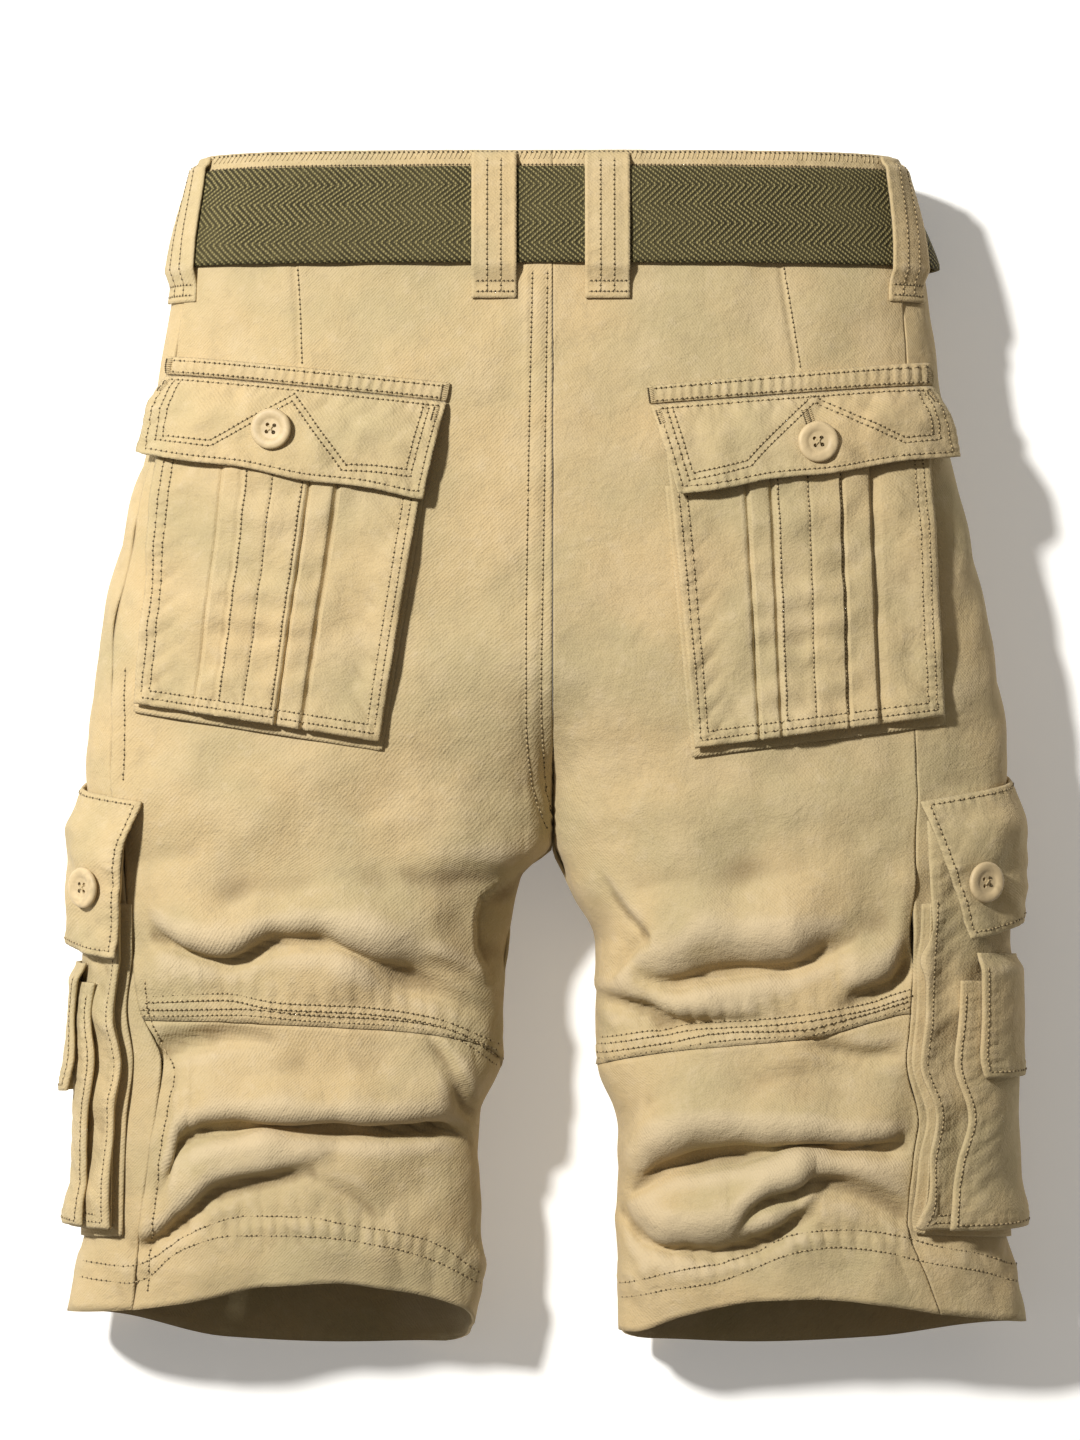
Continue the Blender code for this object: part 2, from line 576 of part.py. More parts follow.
def straighten(grid, levels, kept):
    """Lays a back's two long edges straight between the rows that it shares with the front."""
    rows = [i for i, level in enumerate(levels) if level in kept]
    for first, last in zip(rows[:-1], rows[1:]):
        for i in range(first + 1, last):
            for j in (0, -1):
                share = (grid[i, j, 1] - grid[first, j, 1]) / (grid[last, j, 1] - grid[first, j, 1])
                grid[i, j] = grid[first, j] + (grid[last, j] - grid[first, j]) * share


def panel(name, side, around, levels, rows=(), kept=()):
    around = np.broadcast_to(around, levels.shape)
    grids = [moved_out(side, around, levels, out) for out in (0, -TWILL)]
    for grid in grids:
        straighten(grid, rows, kept)
    wall(name, *grids, KHAKI)


def back_panels(side):
    around = trimmed(BACK_STEPS)
    half = SEAM_GAP / 2
    seat = np.array([seat_level(side, around, step) for step in SEAT_LEVELS])
    shin = np.array([shin_level(side, around, step) for step in SHIN_LEVELS])
    seat[-1] += half
    shin[0] -= half
    panel(f"back_{side}_upper", side, around, seat, SEAT_LEVELS, FRONT_SEAT_LEVELS)
    panel(f"back_{side}_lower", side, around, shin, SHIN_LEVELS, SHIN_LEVELS[:1] + FRONT_SHIN_LEVELS)


def front_panel(side):
    around = trimmed(FRONT_STEPS)
    rows = [seat_level(side, around, step) for step in FRONT_SEAT_LEVELS]
    rows += [shin_level(side, around, step) for step in FRONT_SHIN_LEVELS]
    panel(f"front_{side}", side, around, np.array(rows))


def ring_points(levels, out, right, left):
    """Rows round the waist at a height out, over the right half's steps and then the left half's."""
    grid = []
    for level in levels:
        grid.append(np.concatenate([moved_out("right", np.array(right), level, out),
                                    moved_out("left", np.array(left), level, out)]))
    return grid


def waistband():
    right, left = BAND_STEPS, BAND_STEPS[::-1][1:-1]
    wall("waistband", ring_points(BAND_LEVELS, BAND_PROUD, right, left),
         ring_points(BAND_LEVELS, BAND_PROUD - BAND_THICK, right, left), KHAKI, ring=True)


def belt():
    """The webbing, from one side of the buckle round the back to the other."""
    reach = BUCKLE["width"] / 2 + CLEAR
    ends = {side: under_around(side, CENTRE + sign * reach, BELT_TOP)
            for side, sign in (("right", 1), ("left", -1))}
    right = (ends["right"],) + BAND_STEPS[::-1][1:]
    left = BAND_STEPS[1:-1] + (ends["left"],)
    wall("belt", ring_points(BELT_LEVELS, BELT_OUTER, right, left),
         ring_points(BELT_LEVELS, BELT_INNER, right, left), OLIVE)


def buckle():
    mesh = bmesh.new()
    bmesh.ops.create_cube(mesh, size=1)
    bmesh.ops.scale(mesh, vec=(BUCKLE["width"], BUCKLE["height"], BUCKLE["thick"]), verts=mesh.verts)
    upright = [edge for edge in mesh.edges
               if abs(edge.verts[0].co.z - edge.verts[1].co.z) > BUCKLE["thick"] / 2]
    bmesh.ops.bevel(mesh, geom=upright, offset=BUCKLE["corner"], segments=3, profile=0.5,
                    affect="EDGES", material=-1)
    middle = (BELT_TOP + BELT_BOTTOM) / 2
    bmesh.ops.translate(mesh, vec=(CENTRE, middle, BUCKLE["thick"] / 2), verts=mesh.verts)
    finish("buckle", mesh, STEEL, 0.4, 0.9)


def belt_loops():
    levels = [level for level, _ in LOOP_RUN]
    for name, side, laid, top, foot in LOOPS:
        width = np.linspace(-LOOP_WIDTH / 2, LOOP_WIDTH / 2, 5 if laid == "side" else 3)
        middles = np.interp(levels, (levels[-1], levels[0]), (foot, top))
        around = np.array([[FINDERS[laid](side, middle + w, level) for w in width]
                           for level, middle in zip(levels, middles)])
        level = np.array([[row[0]] * len(width) for row in LOOP_RUN], float)
        out = np.array([[row[1]] * len(width) for row in LOOP_RUN])
        wall(name, moved_out(side, around, level, out + LOOP_THICK),
             moved_out(side, around, level, out), KHAKI)


def fly_facing():
    """The strip behind the front opening, inside the right front."""
    levels = np.array(FRONT_SEAT_LEVELS[1:7], float)
    across = np.array([CENTRE + 1.0, CENTRE + 20, CENTRE + 40])
    around = np.array([[under_around("right", x, level) for x in across] for level in levels])
    level = np.repeat(levels[:, None], len(across), axis=1)
    under = -TWILL - 2 * CLEAR
    wall("fly_facing", moved_out("right", around, level, under),
         moved_out("right", around, level, under - TWILL), KHAKI)


def cargo_slope(kind, across):
    """A cargo pocket lies lower towards its front edge."""
    return 1 - FRONT_SLOPE * np.asarray(across) if kind == "cargo" else np.ones_like(across)


def gusset(name, patch, kind):
    """The bellows round a pocket's two sides and foot, open outwards like a V."""
    width, height = patch_size(patch)
    scale = CARGO_SCALE if kind == "cargo" else 1.0
    steps = GUSSET_STEPS[kind]
    path = [(0, b, 1, 0) for b in np.linspace(0.2, 0.93, steps[0])]
    path += [(0, 1, 1, 1)]
    path += [(a, 1, 0, 1) for a in np.linspace(0.06, 0.94, steps[1])]
    path += [(1, 1, -1, 1)]
    path += [(1, b, -1, 0) for b in np.linspace(0.93, 0.2, steps[0])]
    mesh = bmesh.new()
    rings = []
    for a, b, aside, up in path:
        side_in = np.array([i + FACE_INSET_SIDE * upper for i, _, upper in BELLOWS]) * aside
        foot_in = np.array([i + FACE_INSET_FOOT * upper for i, _, upper in BELLOWS]) * up
        out = np.array([SKIN_CLEAR + 0.3 + (o - SKIN_CLEAR) * scale for _, o, _ in BELLOWS])
        across = a + side_in / width
        points = place(patch, across, b - foot_in / height, out * cargo_slope(kind, across))
        rings.append([mesh.verts.new(point) for point in points])
    for near, far in zip(rings[:-1], rings[1:]):
        for j in range(len(near)):
            k = (j + 1) % len(near)
            mesh.faces.new((near[j], near[k], far[k], far[j]))
    mesh.faces.new(rings[0])
    mesh.faces.new(rings[-1][::-1])
    finish(name, mesh, POCKET_KHAKI)


def face_under(kind, across, down):
    """How far the underside of a pocket's face stands out: most along its bellows."""
    middle = column(FACE_UNDER, DOWN_COLUMNS, kind, down)
    edge = FACE_EDGE if kind == "back" else SKIN_CLEAR + (FACE_EDGE - SKIN_CLEAR) * CARGO_SCALE
    near = np.maximum(ease(1 - across / 0.16), ease(1 - (1 - across) / 0.16))
    near = np.maximum(near, ease((down - 0.86) / 0.1)) * ease((down - 0.05) / 0.12)
    return (middle + (edge - middle) * near) * cargo_slope(kind, across)


def face(name, patch, kind, side):
    width, height = patch_size(patch)
    if kind == "back":
        steps = np.array([row[0] for row in PLEATS[side]])
        downs = np.array([0, 0.06, 0.12, 0.2, 0.35, 0.6, 0.86, 0.96, 1])
    else:
        steps = np.array([0, 0.07, 0.15, 0.25, 0.35, 0.45, 0.55, 0.65, 0.75, 0.85, 0.93, 1])
        downs = np.array([0, 0.08, 0.17, 0.28, 0.39, 0.5, 0.61, 0.72, 0.84, 0.94, 1])
    side_in, foot_in = FACE_INSET_SIDE / width, FACE_INSET_FOOT / height
    across = np.broadcast_to(side_in + steps * (1 - 2 * side_in), (len(downs), len(steps)))
    down = np.broadcast_to((downs * (1 - foot_in))[:, None], across.shape)
    under = face_under(kind, across, down)
    relief = np.zeros_like(under)
    if kind == "back":
        heights = np.array([row[1] for row in PLEATS[side]])
        relief = heights[None, :] * ease(downs / 0.14)[:, None] * np.where(downs > 0.99, 0.5, 1)[:, None]
    wall(name, place(patch, across, down, under + FACE_THICK + relief),
         place(patch, across, down, under), POCKET_KHAKI)


def patch_steps(patch, kind):
    """Steps across a flap or welt, closer where the body turns down at the side."""
    if kind == "cargo":
        return np.linspace(0, 1, 11)
    steps = np.array([0, 0.05, 0.11, 0.18, 0.27, 0.4, 0.6, 0.8, 1])
    return steps if PATCHES[patch][0] == "left" else 1 - steps[::-1]


def flap_under(kind, across, down):
    under = column(FLAP_UNDER, DOWN_COLUMNS, kind, down) * cargo_slope(kind, across)
    return under + 1.8 * across * ease(down / 0.25) if kind == "cargo" else under


def flap(name, patch, kind):
    across, down = np.meshgrid(patch_steps(patch, kind), np.array([0, 0.12, 0.25, 0.4, 0.7, 1]))
    under = flap_under(kind, across, down)
    wall(name, place(patch, across, down, under + FLAP_THICK), place(patch, across, down, under),
         POCKET_KHAKI)


def welt(name, patch):
    across, down = np.meshgrid(patch_steps(patch, "back"), np.array([0, 1]))
    wall(name, place(patch, across, down, SKIN_CLEAR + 1.6), place(patch, across, down, SKIN_CLEAR),
         POCKET_KHAKI)


def cargo_top(side, across, down):
    """The height of a cargo pocket's outer face under a place of the small pocket on it."""
    small, big = PATCHES[f"small_pocket_{side}"][2], PATCHES[f"cargo_pocket_{side}"][2]
    run = small[0][0] + across * (small[1][0] - small[0][0])
    share = run / big[1][0]
    level = small[0][1] + down * (small[2][1] - small[0][1])
    low = (level - big[0][1]) / (big[2][1] - big[0][1])
    return face_under("cargo", share, low) + FACE_THICK


def small_pocket(side):
    """The flat patch pocket on the front part of a cargo pocket's face, and its own flap."""
    patch = f"small_pocket_{side}"
    across, down = np.meshgrid(np.linspace(0, 1, 8), np.array([0, 0.15, 0.3, 0.45, 0.6, 0.75, 0.9, 1]))
    seat = cargo_top(side, across, down) + 1.1
    puff = 1.4 * np.sin(math.pi * across) * np.sin(math.pi * down)
    wall(patch, place(patch, across, down, seat + 1.5 + puff), place(patch, across, down, seat),
         POCKET_KHAKI)
    patch = f"small_flap_{side}"
    across, down = np.meshgrid(np.linspace(0, 1, 8), np.array([0, 0.12, 0.4, 0.7, 1]))
    seat = cargo_top(side, across, down * 0.45) + 0.8 + 3.7 * ease(down / 0.14)
    seat += SMALL_FLAP_LIFT[side] * down ** 2
    wall(patch, place(patch, across, down, seat + 1.6), place(patch, across, down, seat), POCKET_KHAKI)


def button(name, patch, kind, across, down):
    seat = float(flap_under(kind, across, down)) + FLAP_THICK + CLEAR + 0.5
    centre = place(patch, across, down, seat)
    normal = place(patch, across, down, seat + 1) - centre
    along = place(patch, across + 0.02, down, seat) - centre
    normal /= np.linalg.norm(normal)
    along -= normal * (along @ normal)
    along /= np.linalg.norm(along)
    third = np.cross(normal, along)
    mesh = bmesh.new()
    profile = [mesh.verts.new((radius, 0, height)) for radius, height in BUTTON_PROFILE]
    edges = [mesh.edges.new(pair) for pair in zip(profile[:-1], profile[1:])]
    bmesh.ops.spin(mesh, geom=profile + edges, cent=(0, 0, 0), axis=(0, 0, 1), dvec=(0, 0, 0),
                   angle=2 * math.pi, steps=12, use_merge=True, use_duplicate=False)
    bmesh.ops.remove_doubles(mesh, verts=mesh.verts, dist=0.001)
    for vert in mesh.verts:
        vert.co = centre + along * vert.co.x + third * vert.co.y + normal * vert.co.z
    finish(name, mesh, BUTTON_TAN, 0.5)


def clear_scene():
    for piece in list(bpy.data.objects):
        bpy.data.objects.remove(piece, do_unlink=True)


def main():
    clear_scene()
    for side in ("left", "right"):
        back_panels(side)
        front_panel(side)
        gusset(f"back_gusset_{side}", f"back_pocket_{side}", "back")
        face(f"back_face_{side}", f"back_pocket_{side}", "back", side)
        flap(f"back_flap_{side}", f"back_flap_{side}", "back")
        welt(f"back_welt_{side}", f"back_welt_{side}")
        gusset(f"cargo_gusset_{side}", f"cargo_pocket_{side}", "cargo")
        face(f"cargo_face_{side}", f"cargo_pocket_{side}", "cargo", side)
        flap(f"cargo_flap_{side}", f"cargo_flap_{side}", "cargo")
        small_pocket(side)
    waistband()
    fly_facing()
    belt()
    buckle()
    belt_loops()
    for item in BUTTONS:
        button(*item)


main()
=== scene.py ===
"""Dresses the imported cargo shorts: fine cloth, stitching, webbing, buttons and their finishes.

Every piece is laid on the same curved body as the solids, from the same named sizes. Sizes are in
millimetres here, and are turned into metres when a mesh is made.
"""

import math

import bmesh
import bpy
import numpy as np
from mathutils import Matrix, Vector


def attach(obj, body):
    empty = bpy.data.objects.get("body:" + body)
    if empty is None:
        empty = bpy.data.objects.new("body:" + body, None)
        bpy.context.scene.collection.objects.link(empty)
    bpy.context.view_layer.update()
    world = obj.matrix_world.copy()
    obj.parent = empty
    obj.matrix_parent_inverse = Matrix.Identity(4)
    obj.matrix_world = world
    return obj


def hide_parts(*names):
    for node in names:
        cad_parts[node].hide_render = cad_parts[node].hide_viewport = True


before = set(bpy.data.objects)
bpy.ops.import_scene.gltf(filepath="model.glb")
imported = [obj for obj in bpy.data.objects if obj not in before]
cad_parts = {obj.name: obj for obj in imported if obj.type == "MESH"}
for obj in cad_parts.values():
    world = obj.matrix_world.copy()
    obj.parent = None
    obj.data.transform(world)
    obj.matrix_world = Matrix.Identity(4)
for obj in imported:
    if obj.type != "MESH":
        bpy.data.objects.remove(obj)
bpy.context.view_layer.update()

bl_info = {
    "name": "Cargo Shorts Dressing",
    "version": (1, 0, 0),
    "blender": (4, 5, 0),
    "location": "View3D > Sidebar > Shorts",
    "description": "Builds the fine cloth, stitching, belt and buttons of a pair of cargo shorts",
    "category": "Add Mesh",
}

MM = 0.001

# Cloth and gaps
TWILL = 1.5          # panel thickness
BAND_THICK = 3.0     # waistband, two layers and a stiffener
STRAP_THICK = 2.6    # belt webbing
LOOP_THICK = 1.2
CLEAR = 0.3          # between a piece and what it lies on
SKIN_CLEAR = 0.6     # under a patch that lies on a curved panel

# Levels along the body
BAND_TOP = 285.0
BAND_BOTTOM = 240.3
PANEL_TOP = 240.0
BELT_TOP = 276.5
BELT_BOTTOM = 231.0
CROTCH_LEVEL = -43.0
FORK_START = 45.0    # where the seat starts to part into two legs
CENTRE = 5.0         # the centre seam's place across the body

# Heights out from the panels' outer surface
BAND_PROUD = 0.8
BELT_INNER = BAND_PROUD + CLEAR
BELT_OUTER = BELT_INNER + STRAP_THICK
LOOP_INNER = BELT_OUTER + 2 * CLEAR
LOOP_OUTER = LOOP_INNER + LOOP_THICK
FRONT_LIFT = LOOP_OUTER          # the front clears the surface by its belt and loops here
LIFT_FROM, LIFT_TO = 205.0, 229.0

# Roundness of the cross-sections
SEAT_POWER = 2.9
LEG_POWER = 2.5
UNDER_POWER = 2.2
OUTER_CORNER = 58.0
INNER_CORNER = 42.0

# Cuts across each half. level: place along Y. edge: widest point. seam: side seam. pocket: back
# edge of the cargo pocket. inner: inside of the leg. crown: top. side: height of the edge.
SECTION_COLUMNS = ("level", "edge", "seam", "pocket", "inner", "crown", "side")
SECTIONS = {
    "left": (
        (300, -158, -148, -150, 5.0, 83, 44),
        (285, -161, -151, -152, 5.0, 84, 44),
        (240, -173, -163, -165, 5.0, 90, 45),
        (203, -179, -171, -173, 5.0, 93, 46),
        (180, -182, -175, -176, 5.0, 95, 46),
        (151, -187, -181, -182, 5.0, 96, 47),
        (128, -194, -188, -188, 5.0, 97, 47),
        (94, -202, -195, -190, 5.0, 97, 47),
        (51, -211, -203, -190, 5.0, 97, 47),
        (-2, -217, -203, -188, 5.0, 95, 46),
        (-20, -217, -202, -188, 5.0, 94, 46),
        (-43, -216, -199, -192, 5.0, 92, 45),
        (-57, -215, -197, -192, -10.0, 91, 45),
        (-90, -214, -193, -192, -16.5, 90, 44),
        (-120, -213, -189, -195, -20.0, 87, 44),
        (-143, -213, -179, -192, -19.5, 86, 43),
        (-170, -213, -182, -195, -30.0, 86, 43),
        (-190, -214, -185, -196, -31.0, 85, 43),
        (-218, -217, -189, -197, -29.0, 82, 42),
        (-250, -223, -192, -198, -30.0, 78, 40),
        (-272, -227, -194, -199, -33.0, 75, 38),
        (-300, -228, -194, -199, -34.0, 73, 37),
    ),
    "right": (
        (300, 165, 152, 155, 5.0, 83, 44),
        (285, 168, 156, 158, 5.0, 84, 44),
        (240, 180, 166, 168, 5.0, 90, 45),
        (203, 186, 171, 172, 5.0, 93, 46),
        (151, 193, 173, 174, 5.0, 96, 47),
        (94, 206, 174, 175, 5.0, 97, 47),
        (51, 215, 174, 176, 5.0, 97, 47),
        (-2, 221, 175, 177, 5.0, 95, 46),
        (-20, 221, 176, 177.5, 5.0, 94, 46),
        (-43, 220, 175, 177, 5.0, 92, 45),
        (-57, 219, 175, 177, 10.5, 91, 45),
        (-90, 218, 174, 176, 25.0, 90, 44),
        (-120, 218, 173, 175, 25.5, 87, 44),
        (-143, 217, 171, 173, 27.0, 86, 43),
        (-170, 217, 177, 180, 35.5, 86, 43),
        (-190, 218, 174, 176, 38.0, 85, 43),
        (-218, 221, 172, 174, 35.0, 82, 42),
        (-250, 227, 183, 180, 37.0, 78, 40),
        (-272, 231, 190, 186, 37.5, 75, 38),
        (-300, 232, 192, 188, 38.0, 73, 37),
    ),
}

# Where the knee seam and the hem lie. around: 0 at the inside of the leg, 1 at the side seam over
# the back, and 2 at the inside of the leg again, under the front.
EDGE_COLUMNS = ("around", "left", "right")
KNEE_SEAM = (
    (0.0, -149.0, -147.0),
    (0.1, -140.0, -145.0),
    (0.2, -133.5, -142.0),
    (0.35, -129.0, -138.0),
    (0.5, -127.0, -135.5),
    (0.75, -124.5, -131.0),
    (0.9, -124.0, -124.0),
    (1.0, -124.0, -120.5),
    (1.5, -136.0, -134.0),
    (2.0, -149.0, -147.0),
)
HEM = (
    (0.0, -274.0, -274.0),
    (0.12, -261.0, -273.0),
    (0.28, -253.0, -264.0),
    (0.5, -247.5, -256.0),
    (0.65, -249.0, -255.0),
    (0.8, -255.0, -257.0),
    (1.0, -261.0, -263.0),
    (1.15, -265.0, -269.0),
    (1.3, -270.0, -274.0),
    (1.5, -283.0, -283.0),
    (1.7, -285.5, -285.5),
    (1.88, -284.0, -283.0),
    (2.0, -274.0, -274.0),
)

# Folds across the legs. Each row is a point of the fold's crease, from left to right: its place,
# the height of the roll on its waist side, the depth of the crease, and how far the roll's top is
# from it.
FOLDS = {
    "left": (
        ((-186, -82, 0, 0, 9), (-176, -87, 4, 4, 10), (-163, -92, 7, 6, 12), (-147, -95, 7, 6, 13),
         (-123, -87, 6, 4, 13), (-105, -86, 6, 4, 13), (-88, -92, 7, 5, 15), (-71, -101, 7, 5, 19),
         (-53, -109, 6, 4, 23), (-33, -117, 2, 2, 24), (-20, -121, 0, 0, 20)),
        ((-184, -139, 0, 0, 8), (-172, -136, 1, 5, 8), (-155, -132.5, 2, 5, 8),
         (-134, -131, 0, 2, 8), (-118, -133, 0, 0, 8)),
        ((-184, -210, 0, 0, 8), (-176, -198, 2, 2, 9), (-171, -183, 4, 4, 10),
         (-154, -175, 6, 6, 11), (-130, -173, 7, 8, 11), (-109, -174, 7, 9, 11),
         (-75, -175.5, 7, 10, 11), (-49, -175, 6, 9, 11), (-38, -180, 2, 3, 10),
         (-28, -186, 0, 0, 10)),
        ((-196, -232, 0, 0, 9), (-186, -230, 3, 4, 9), (-170, -220, 4, 5, 10),
         (-154, -206, 5, 4, 10), (-134, -200, 5, 3, 10), (-109, -195, 3, 1, 10),
         (-96, -193, 0, 0, 10)),
    ),
    "right": (
        ((40, -102, 0, 0, 18), (52, -105.5, 5, 4, 22), (60, -106.5, 8, 6, 23),
         (79, -102.5, 9, 7, 24), (96, -100, 9, 7, 24), (113, -99, 9, 7, 23),
         (124, -96, 7, 5, 20), (134, -91, 4, 3, 16), (150, -84, 0, 0, 12)),
        ((18, -112, 0, 0, 9), (29, -114.5, 3, 3, 9), (49, -119, 5, 5, 10), (64, -126, 5, 5, 12),
         (92, -125.5, 2, 3, 10), (108, -124, 0, 0, 9)),
        ((138, -114, 0, 0, 9), (148, -112, 4, 3, 12), (162, -108, 5, 5, 15), (171, -100, 3, 4, 15),
         (178, -92, 0, 0, 12)),
        ((118, -133, 0, 0, 8), (135, -138, 1, 4, 8), (155, -141, 2, 5, 8), (164, -140, 1, 3, 8),
         (172, -138, 0, 0, 8)),
        ((36, -216, 0, 0, 18), (43, -206, 4, 3, 20), (57, -194.5, 8, 7, 24), (75, -190, 9, 9, 23),
         (102, -186, 8, 9, 18), (127, -181.5, 7, 9, 13), (140, -183, 6, 7, 11),
         (161, -183, 5, 6, 10), (174, -182, 0, 0, 9)),
        ((88, -222, 0, 0, 8), (97, -214.5, 4, 4, 9), (106, -209, 6, 5, 11), (119, -205.5, 6, 5, 12),
         (128, -199.5, 3, 3, 10), (156, -207.5, 4, 3, 12), (171, -217, 2, 2, 12),
         (182, -224, 0, 0, 9)),
        ((30, -212, 0, 0, 10), (39, -217.5, 3, 3, 12), (47, -227, 5, 6, 16), (60, -233, 7, 7, 20),
         (76, -233.5, 7, 7, 20), (94, -231.5, 6, 7, 17), (107, -227, 5, 7, 12),
         (119, -219, 3, 5, 8), (132, -211, 0, 0, 8)),
    ),
}
CREASE_WIDTH = 5.5
ROLL_BACK = 15.0     # how softly a roll dies away towards the waist

# Belt loops: how a loop leaves the band, passes over the belt and comes down on the seat. Each
# row is a level and a height out.
LOOP_WIDTH = 21.0
LOOP_RUN = ((283.5, BELT_INNER), (280.8, 1.7), (277.6, LOOP_INNER), (262, LOOP_INNER),
            (246, LOOP_INNER), (230, LOOP_INNER), (226, 2.4), (222, SKIN_CLEAR),
            (214.5, SKIN_CLEAR))
# laid: on the top by x, on the side by the run from the pocket's back edge, or on the underside
# by x. top and foot: where the middle of the loop lies there
LOOPS = (
    ("loop_back_left", "left", "top", -22.5, -22.5),
    ("loop_back_right", "right", "top", 30.5, 30.5),
    ("loop_side_left", "left", "side", 15.0, 0.0),
    ("loop_side_right", "right", "side", 11.5, 1.0),
    ("loop_front_left", "left", "under", -82.0, -82.0),
    ("loop_front_right", "right", "under", 92.0, 92.0),
)

BUCKLE_WIDTH = 46.0  # a plain clamp plate, where the belt's ends meet
BELT_BULGE = 5.5     # how far the belt's lower edge stands out beside the right side loop
BAND_SIZE = (800.0, 45.0)      # the waistband laid out: girth and height
BELT_SIZE = (780.0, 45.5)
LOOP_LENGTH = 69.0

# Patches. corners: top start, top end, bottom start, bottom end. On the top they are (x, y), on the
# side (run outwards from the pocket's back edge, y).
PATCHES = {
    "back_pocket_left": ("left", "top", ((-178, 170), (-49, 157), (-191.5, 21), (-74.5, 3))),
    "back_flap_left": ("left", "top", ((-176, 180), (-44.5, 165.7), (-184, 141), (-55.3, 120.5))),
    "back_welt_left": ("left", "top", ((-175, 189), (-43, 174.6), (-176, 181), (-44.5, 166.4))),
    "back_pocket_right": ("right", "top", ((54, 158), (180, 168), (70, 0), (189, 15))),
    "back_flap_right": ("right", "top", ((50.3, 164.3), (183, 174.8), (63, 122), (189.5, 140.5))),
    "back_welt_right": ("right", "top", ((49, 173.2), (182, 186), (50, 165.2), (183, 175.8))),
    "cargo_pocket_left": ("left", "side", ((0, -30), (78, -20), (0, -226), (78, -232))),
    "cargo_flap_left": ("left", "side", ((-1, -20.7), (78, -10), (1, -93), (78, -85))),
    "small_pocket_left": ("left", "side", ((14, -106), (68, -107), (14, -222), (68, -227))),
    "small_flap_left": ("left", "side", ((22, -97), (66, -98), (22, -158), (66, -162))),
    "cargo_pocket_right": ("right", "side", ((0, -30), (98, -16), (0, -224), (98, -232))),
    "cargo_flap_right": ("right", "side", ((-1, -20.7), (100, -5), (19, -84.5), (100, -70))),
    "small_pocket_right": ("right", "side", ((18, -104), (90, -107), (14, -221), (90, -227))),
    "small_flap_right": ("right", "side", ((26, -91.5), (92, -96), (28, -151), (92, -152))),
}

# The bellows strip's cross-section round the open end of its fold: place in from the pocket's edge,
# and height out
GUSSET_LINE = ((0.0, 1.3), (5.0, 1.9), (6.8, 2.6), (5.4, 3.5), (0.6, 4.3))
FACE_INSET_SIDE = 2.0
FACE_INSET_FOOT = 4.2
FACE_THICK = 1.6
FLAP_THICK = 2.0

# Face heights down a pocket, and flap heights down a flap
DOWN_COLUMNS = ("down", "back", "cargo")
FACE_UNDER = ((0.0, 1.5, 2.0), (0.1, 3.2, 5.0), (0.35, 3.5, 5.6), (0.6, 3.7, 5.6), (1.0, 3.9, 6.0))
FACE_EDGE = 5.8      # height of a back pocket's face along its bellows
SMALL_FLAP_LIFT = {"left": 6.0, "right": 2.2}
CARGO_SCALE = 1.75   # a cargo pocket's bellows against a back pocket's
FRONT_SLOPE = 0.45   # how much lower a cargo pocket lies at its front edge
FLAP_UNDER = ((0.0, 1.0, 1.0), (0.12, 3.2, 4.6), (0.25, 5.4, 9.0), (0.4, 7.4, 10.9),
              (0.7, 8.2, 11.4), (1.0, 8.4, 11.8))

# Box pleat of the back pockets' faces: place across the face, and height over it
PLEATS = {
    "left": ((0, 0), (0.06, 0), (0.15, 0.2), (0.236, 0.3), (0.246, -0.6), (0.262, 1.3), (0.31, 1.4),
             (0.325, 0.9), (0.34, 2.2), (0.43, 2.3), (0.44, 1.8), (0.45, 2.3), (0.546, 2.3),
             (0.556, 1.9), (0.566, 2.2), (0.578, -1.0), (0.591, 1.4), (0.658, 1.3), (0.67, 1.1),
             (0.685, -1.8), (0.702, 0.9), (0.82, 0.3), (0.93, 0), (1, 0)),
    "right": ((0, 0), (0.08, 0), (0.19, 0.3), (0.266, 0.9), (0.280, -1.3), (0.293, 1.3),
              (0.36, 1.4), (0.374, -0.4), (0.388, 2.2), (0.50, 2.3), (0.512, 1.8), (0.524, 2.3),
              (0.63, 2.3), (0.642, -0.1), (0.656, 1.4), (0.738, 1.4), (0.748, 1.2),
              (0.764, -1.8), (0.80, -0.3), (0.86, 0.4), (0.95, 0), (1, 0)),
}

# Buttons: the flap, and the place across and down it
BUTTONS = (
    ("back_button_left", "back_flap_left", "back", 0.43, 0.52),
    ("back_button_right", "back_flap_right", "back", 0.53, 0.62),
    ("cargo_button_left", "cargo_flap_left", "cargo", 0.20, 0.58),
    ("cargo_button_right", "cargo_flap_right", "cargo", 0.15, 0.62),
)
# A button's half section: distance from its middle, and height
BUTTON_PROFILE = ((0, 0), (8.6, 0), (9.3, 0.35), (9.6, 1.0), (9.55, 1.7), (9.2, 2.35), (8.5, 2.75),
                  (7.6, 2.85), (6.4, 2.7), (5.5, 2.4), (4.9, 2.05), (4.4, 1.9), (0, 1.9))
BUTTON_STALK = 1.6      # thread between a flap and its button
BUTTON_FLOOR = 1.95     # height of a button's dished middle, with the thread on it
HOLE_PLACE, HOLE_RADIUS = 2.3, 0.95
THREAD_REACH = 1.6      # from a button's middle to where its thread goes down, each way

TRIM = 0.0009          # a panel stops this share short of each seam
KNEE_GAP = 0.15        # and this far short of the knee seam
INSEAM_FADE = 0.035    # the share of a back panel's width that eases into the front's cloth
